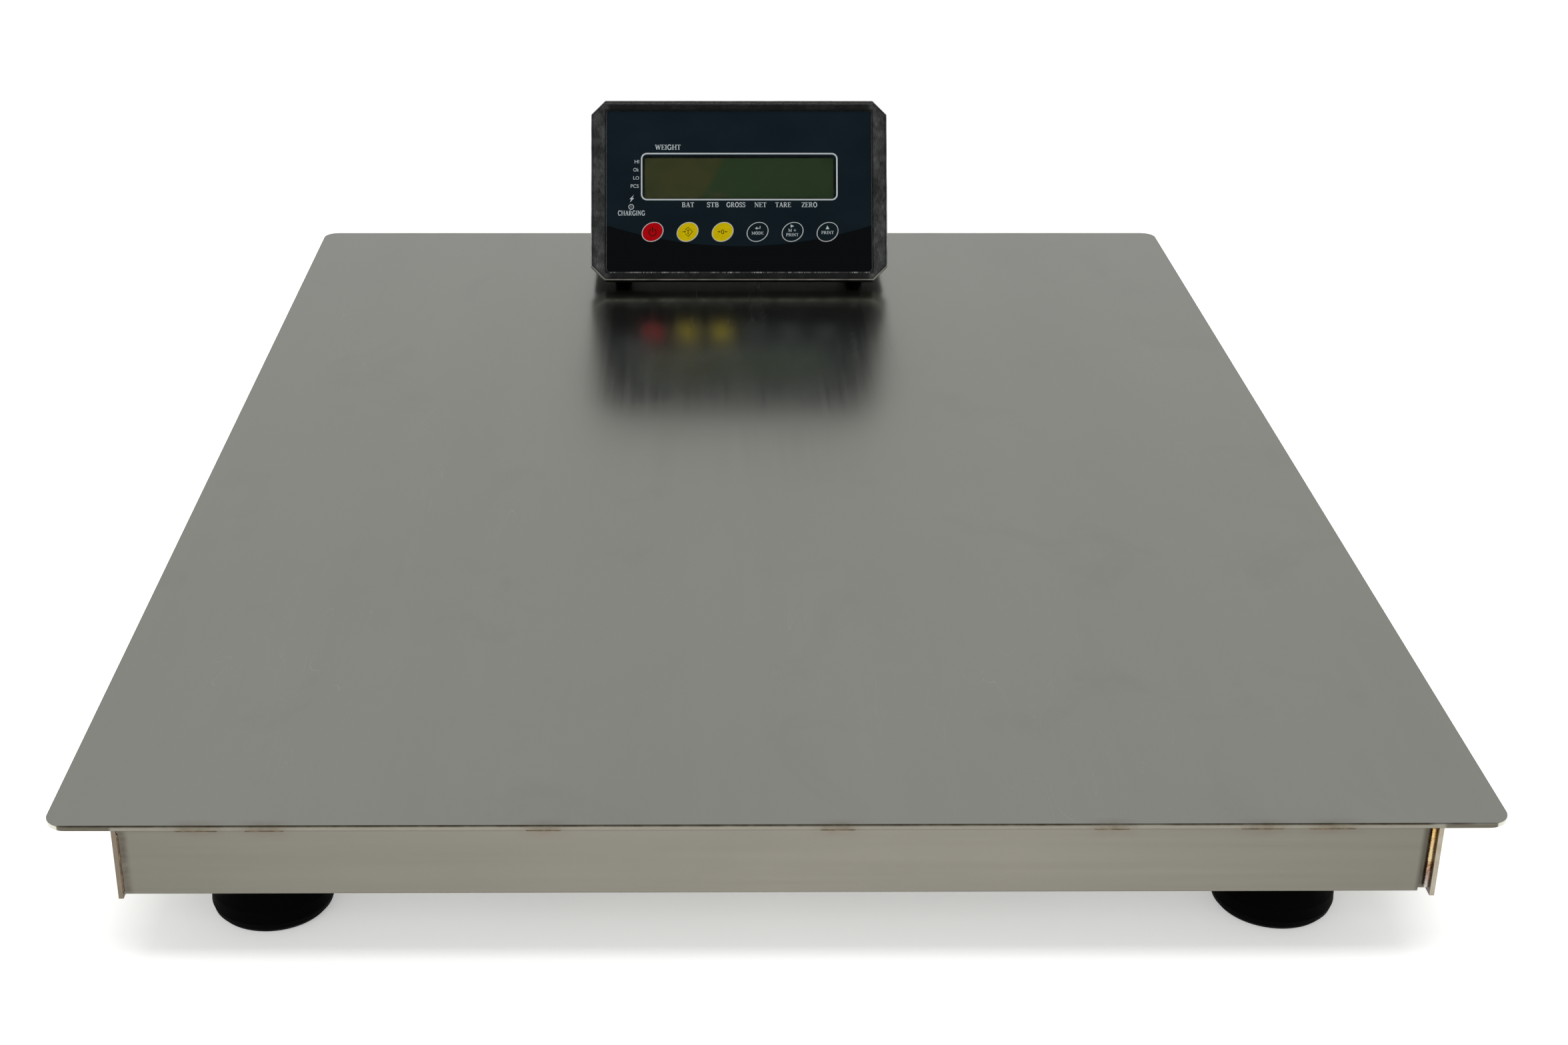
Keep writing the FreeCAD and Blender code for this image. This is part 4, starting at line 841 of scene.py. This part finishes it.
def sans_text(name, text, u0, u1, v0, v1, n0, n1, mat, body):
    cu = bpy.data.curves.new(name + "_c", "FONT")
    cu.body = text
    cu.size = 1.0
    cu.resolution_u = 4
    cu.extrude = 0.5
    tmp = link(bpy.data.objects.new(name + "_t", cu))
    bpy.context.view_layer.update()
    dg = bpy.context.evaluated_depsgraph_get()
    me = bpy.data.meshes.new_from_object(tmp.evaluated_get(dg))
    xs = [v.co.x for v in me.vertices]
    ys = [v.co.y for v in me.vertices]
    x0, x1, y0, y1 = min(xs), max(xs), min(ys), max(ys)
    for v in me.vertices:
        u = u0 + (v.co.x - x0) / (x1 - x0) * (u1 - u0)
        w = v0 + (v.co.y - y0) / (y1 - y0) * (v1 - v0)
        n = n0 if v.co.z < 0 else n1
        v.co = F(u, w, n)
    bpy.data.objects.remove(tmp)
    bpy.data.curves.remove(cu)
    bm = bmesh.new()
    bm.from_mesh(me)
    bmesh.ops.remove_doubles(bm, verts=bm.verts, dist=1e-7)
    bpy.data.meshes.remove(me)
    return finish_mesh(name, bm, mat, body)


# ---------------------------------------------------------------- printed face
P0, P1 = -0.73, -0.66          # print on the overlay film
bm = bmesh.new()
band(bm, rounded(-82.8, 67.9, 83.2, 108.3, 5.0), rounded(-81.6, 69.1, 82.0, 107.1, 3.8), P0, P1 + 0.02)
finish_mesh("display_outline", bm, mat_silver, "indicator")

bm = bmesh.new()
serif_text(bm, "WEIGHT", -71.0, -49.2, 111.0, 115.3, P0, P1)
for text, u0, u1 in (("BAT", -48.4, -37.9), ("STB", -27.4, -17.0), ("GROSS", -10.9, 5.3), ("NET", 12.8, 23.1),
                     ("TARE", 30.4, 43.9), ("ZERO", 52.6, 66.0)):
    serif_text(bm, text, u0, u1, 62.1, 66.2, P0, P1)
serif_text(bm, "CHARGING", -102.4, -79.2, 55.0, 59.1, P0, P1)
# lightning bolt and lamp ring
prism(bm, [(-88.7, 72.6), (-92.4, 68.9), (-90.9, 68.9), (-92.2, 66.0), (-88.6, 69.8), (-90.2, 69.8)], P0, P1)
band(bm, oval(-91.0, 62.3, 2.35, 2.35, 0, 40), oval(-91.0, 62.3, 1.8, 1.8, 0, 40), P0, P1)
finish_mesh("face_labels", bm, mat_ink, "indicator")
for nm, text, u0, u1, v0, v1 in (("label_hi", "HI", -88.1, -84.4, 99.4, 102.3), ("label_ok", "Ok", -89.2, -84.6, 92.4, 95.5),
                                 ("label_lo", "LO", -89.2, -84.4, 85.5, 88.4), ("label_pcs", "PCS", -91.4, -84.7, 78.5, 81.5)):
    sans_text(nm, text, u0, u1, v0, v1, P0, P1, mat_ink, "indicator")

# ---------------------------------------------------------------- keys
KEYS = ["power_key", "tare_key", "zero_key", "mode_key", "memory_key", "print_key"]
K0, K1 = -0.53, -0.46
for i, k in enumerate(KEYS):
    cu, cv = -73 + 29.5 * i, 41.0
    bm = bmesh.new()
    band(bm, oval(cu, cv, 9.47, 7.87, 32), oval(cu, cv, 8.95, 7.35, 32), K0, K1)
    finish_mesh(k + "_outline", bm, mat_silver, k + "_button")
    bm = bmesh.new()
    if i == 0:
        stroke(bm, arc(cu, cv - 0.4, 3.0, 118, 422, 40), 0.72, K0, K1)
        stroke(bm, [(cu, cv + 0.2), (cu, cv + 4.0)], 0.82, K0, K1)
    elif i == 1:
        d = 3.7
        stroke(bm, [(cu - 2.0, cv + 1.7), (cu + 0.5, cv + d + 0.3), (cu + 0.5 + d, cv + 0.1), (cu + 0.5, cv - d - 0.1), (cu - 2.0, cv - 1.5)], 0.5, K0, K1)
        stroke(bm, [(cu - 4.4, cv + 0.1), (cu - 2.4, cv + 0.1)], 0.5, K0, K1)
        prism(bm, [(cu - 1.3, cv + 0.1), (cu - 2.6, cv + 0.9), (cu - 2.6, cv - 0.7)], K0, K1)
        stroke(bm, [(cu - 0.9, cv + 1.6), (cu + 1.7, cv + 1.6)], 0.45, K0, K1)
        stroke(bm, [(cu + 0.4, cv + 1.6), (cu + 0.4, cv - 1.7)], 0.55, K0, K1)
        stroke(bm, [(cu - 0.2, cv - 1.7), (cu + 1.0, cv - 1.7)], 0.35, K0, K1)
    elif i == 2:
        band(bm, oval(cu, cv + 0.1, 1.45, 1.9, 0, 36), oval(cu, cv + 0.1, 0.8, 1.45, 0, 36), K0, K1)
        for s in (-1, 1):
            stroke(bm, [(cu + s * 4.1, cv + 0.1), (cu + s * 2.8, cv + 0.1)], 0.45, K0, K1)
            prism(bm, [(cu + s * 1.9, cv + 0.1), (cu + s * 3.0, cv + 0.1 - s * 0.75), (cu + s * 3.0, cv + 0.1 + s * 0.75)], K0, K1)
    elif i == 3:
        stroke(bm, [(cu + 2.1, cv + 5.0), (cu + 2.1, cv + 3.0)], 0.62, K0, K1)
        stroke(bm, [(cu + 2.4, cv + 3.1), (cu - 0.5, cv + 3.1)], 0.6, K0, K1)
        prism(bm, [(cu - 2.1, cv + 3.1), (cu - 0.4, cv + 4.3), (cu - 0.4, cv + 1.9)], K0, K1)
        serif_text(bm, "MODE", cu - 5.1, cu + 5.1, cv - 2.2, cv + 0.2, K0, K1)
    elif i == 4:
        prism(bm, [(cu - 1.6, cv + 6.3), (cu - 1.6, cv + 3.6), (cu + 1.3, cv + 4.95)], K0, K1)
        serif_text(bm, "M", cu - 3.7, cu - 0.5, cv + 0.2, cv + 2.6, K0, K1)
        stroke(bm, [(cu + 0.9, cv + 1.4), (cu + 2.9, cv + 1.4)], 0.34, K0, K1)
        stroke(bm, [(cu + 1.9, cv + 0.4), (cu + 1.9, cv + 2.4)], 0.34, K0, K1)
        serif_text(bm, "PRINT", cu - 5.6, cu + 5.1, cv - 3.7, cv - 1.2, K0, K1)
    else:
        prism(bm, [(cu - 1.6, cv + 2.3), (cu + 1.5, cv + 2.3), (cu - 0.05, cv + 5.4)], K0, K1)
        serif_text(bm, "PRINT", cu - 5.3, cu + 5.3, cv - 1.8, cv + 0.7, K0, K1)
    finish_mesh(k + "_symbol", bm, mat_black_ink if i < 3 else mat_ink, k + "_button")

# ---------------------------------------------------------------- weld beads
def bead_tube(bm, p0, p1, r, seed, ripple=0.16, pitch=0.0016, sag=1.0):
    """a laid bead: a round section whose size and skin ripple along its run"""
    p0, p1 = Vector(p0), Vector(p1)
    d = p1 - p0
    L = d.length
    d.normalize()
    a = d.orthogonal().normalized()
    b = d.cross(a)
    steps = max(8, int(L / 0.0004))
    seg = 14
    rings = []
    for i in range(steps + 1):
        s = i / steps * L
        ph = s / pitch
        lob = abs(math.sin(math.pi * ph))
        rr = r * (1 - ripple + ripple * lob) * (1 + 0.10 * noise.noise(Vector((s * 220, seed, 1.7))))
        end = min(s, L - s)
        rr *= min(1.0, 0.35 + math.sqrt(max(0.0, end) / (1.3 * r))) if end < r else 1.0
        c = p0 + d * s
        ring = []
        for j in range(seg):
            q = 2 * math.pi * j / seg
            w = 1 + 0.05 * noise.noise(Vector((s * 500, seed + 3 * math.cos(q), 3 * math.sin(q))))
            ring.append(bm.verts.new(c + (a * math.cos(q) + b * math.sin(q)) * rr * w))
        rings.append(ring)
    for i in range(steps):
        for j in range(seg):
            k = (j + 1) % seg
            bm.faces.new((rings[i][j], rings[i][k], rings[i + 1][k], rings[i + 1][j]))
    bm.faces.new(rings[0][::-1])
    bm.faces.new(rings[-1])


bm = bmesh.new()
for sy in (-1, 1):
    bead_tube(bm, (0.3362, 0.4956 * sy, 0.0428), (0.3362, 0.4956 * sy, 0.0806), 0.0019, 5.0 + sy)
    bead_tube(bm, (-0.3371, 0.4990 * sy, 0.0438), (-0.3371, 0.4990 * sy, 0.0790), 0.0006, 9.0 + sy, 0.3, 0.0012)
for cx, ln in STITCH:
    for sy in (-1, 1):
        bead_tube(bm, (cx - ln / 2, 0.4990 * sy, 0.0807), (cx + ln / 2, 0.4990 * sy, 0.0807), 0.00062, cx * 40 + sy, 0.25, 0.0013)
welds = finish_mesh("weld_runs", bm, mat_weld, "platform", smooth=True)
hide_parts("weld_beads")
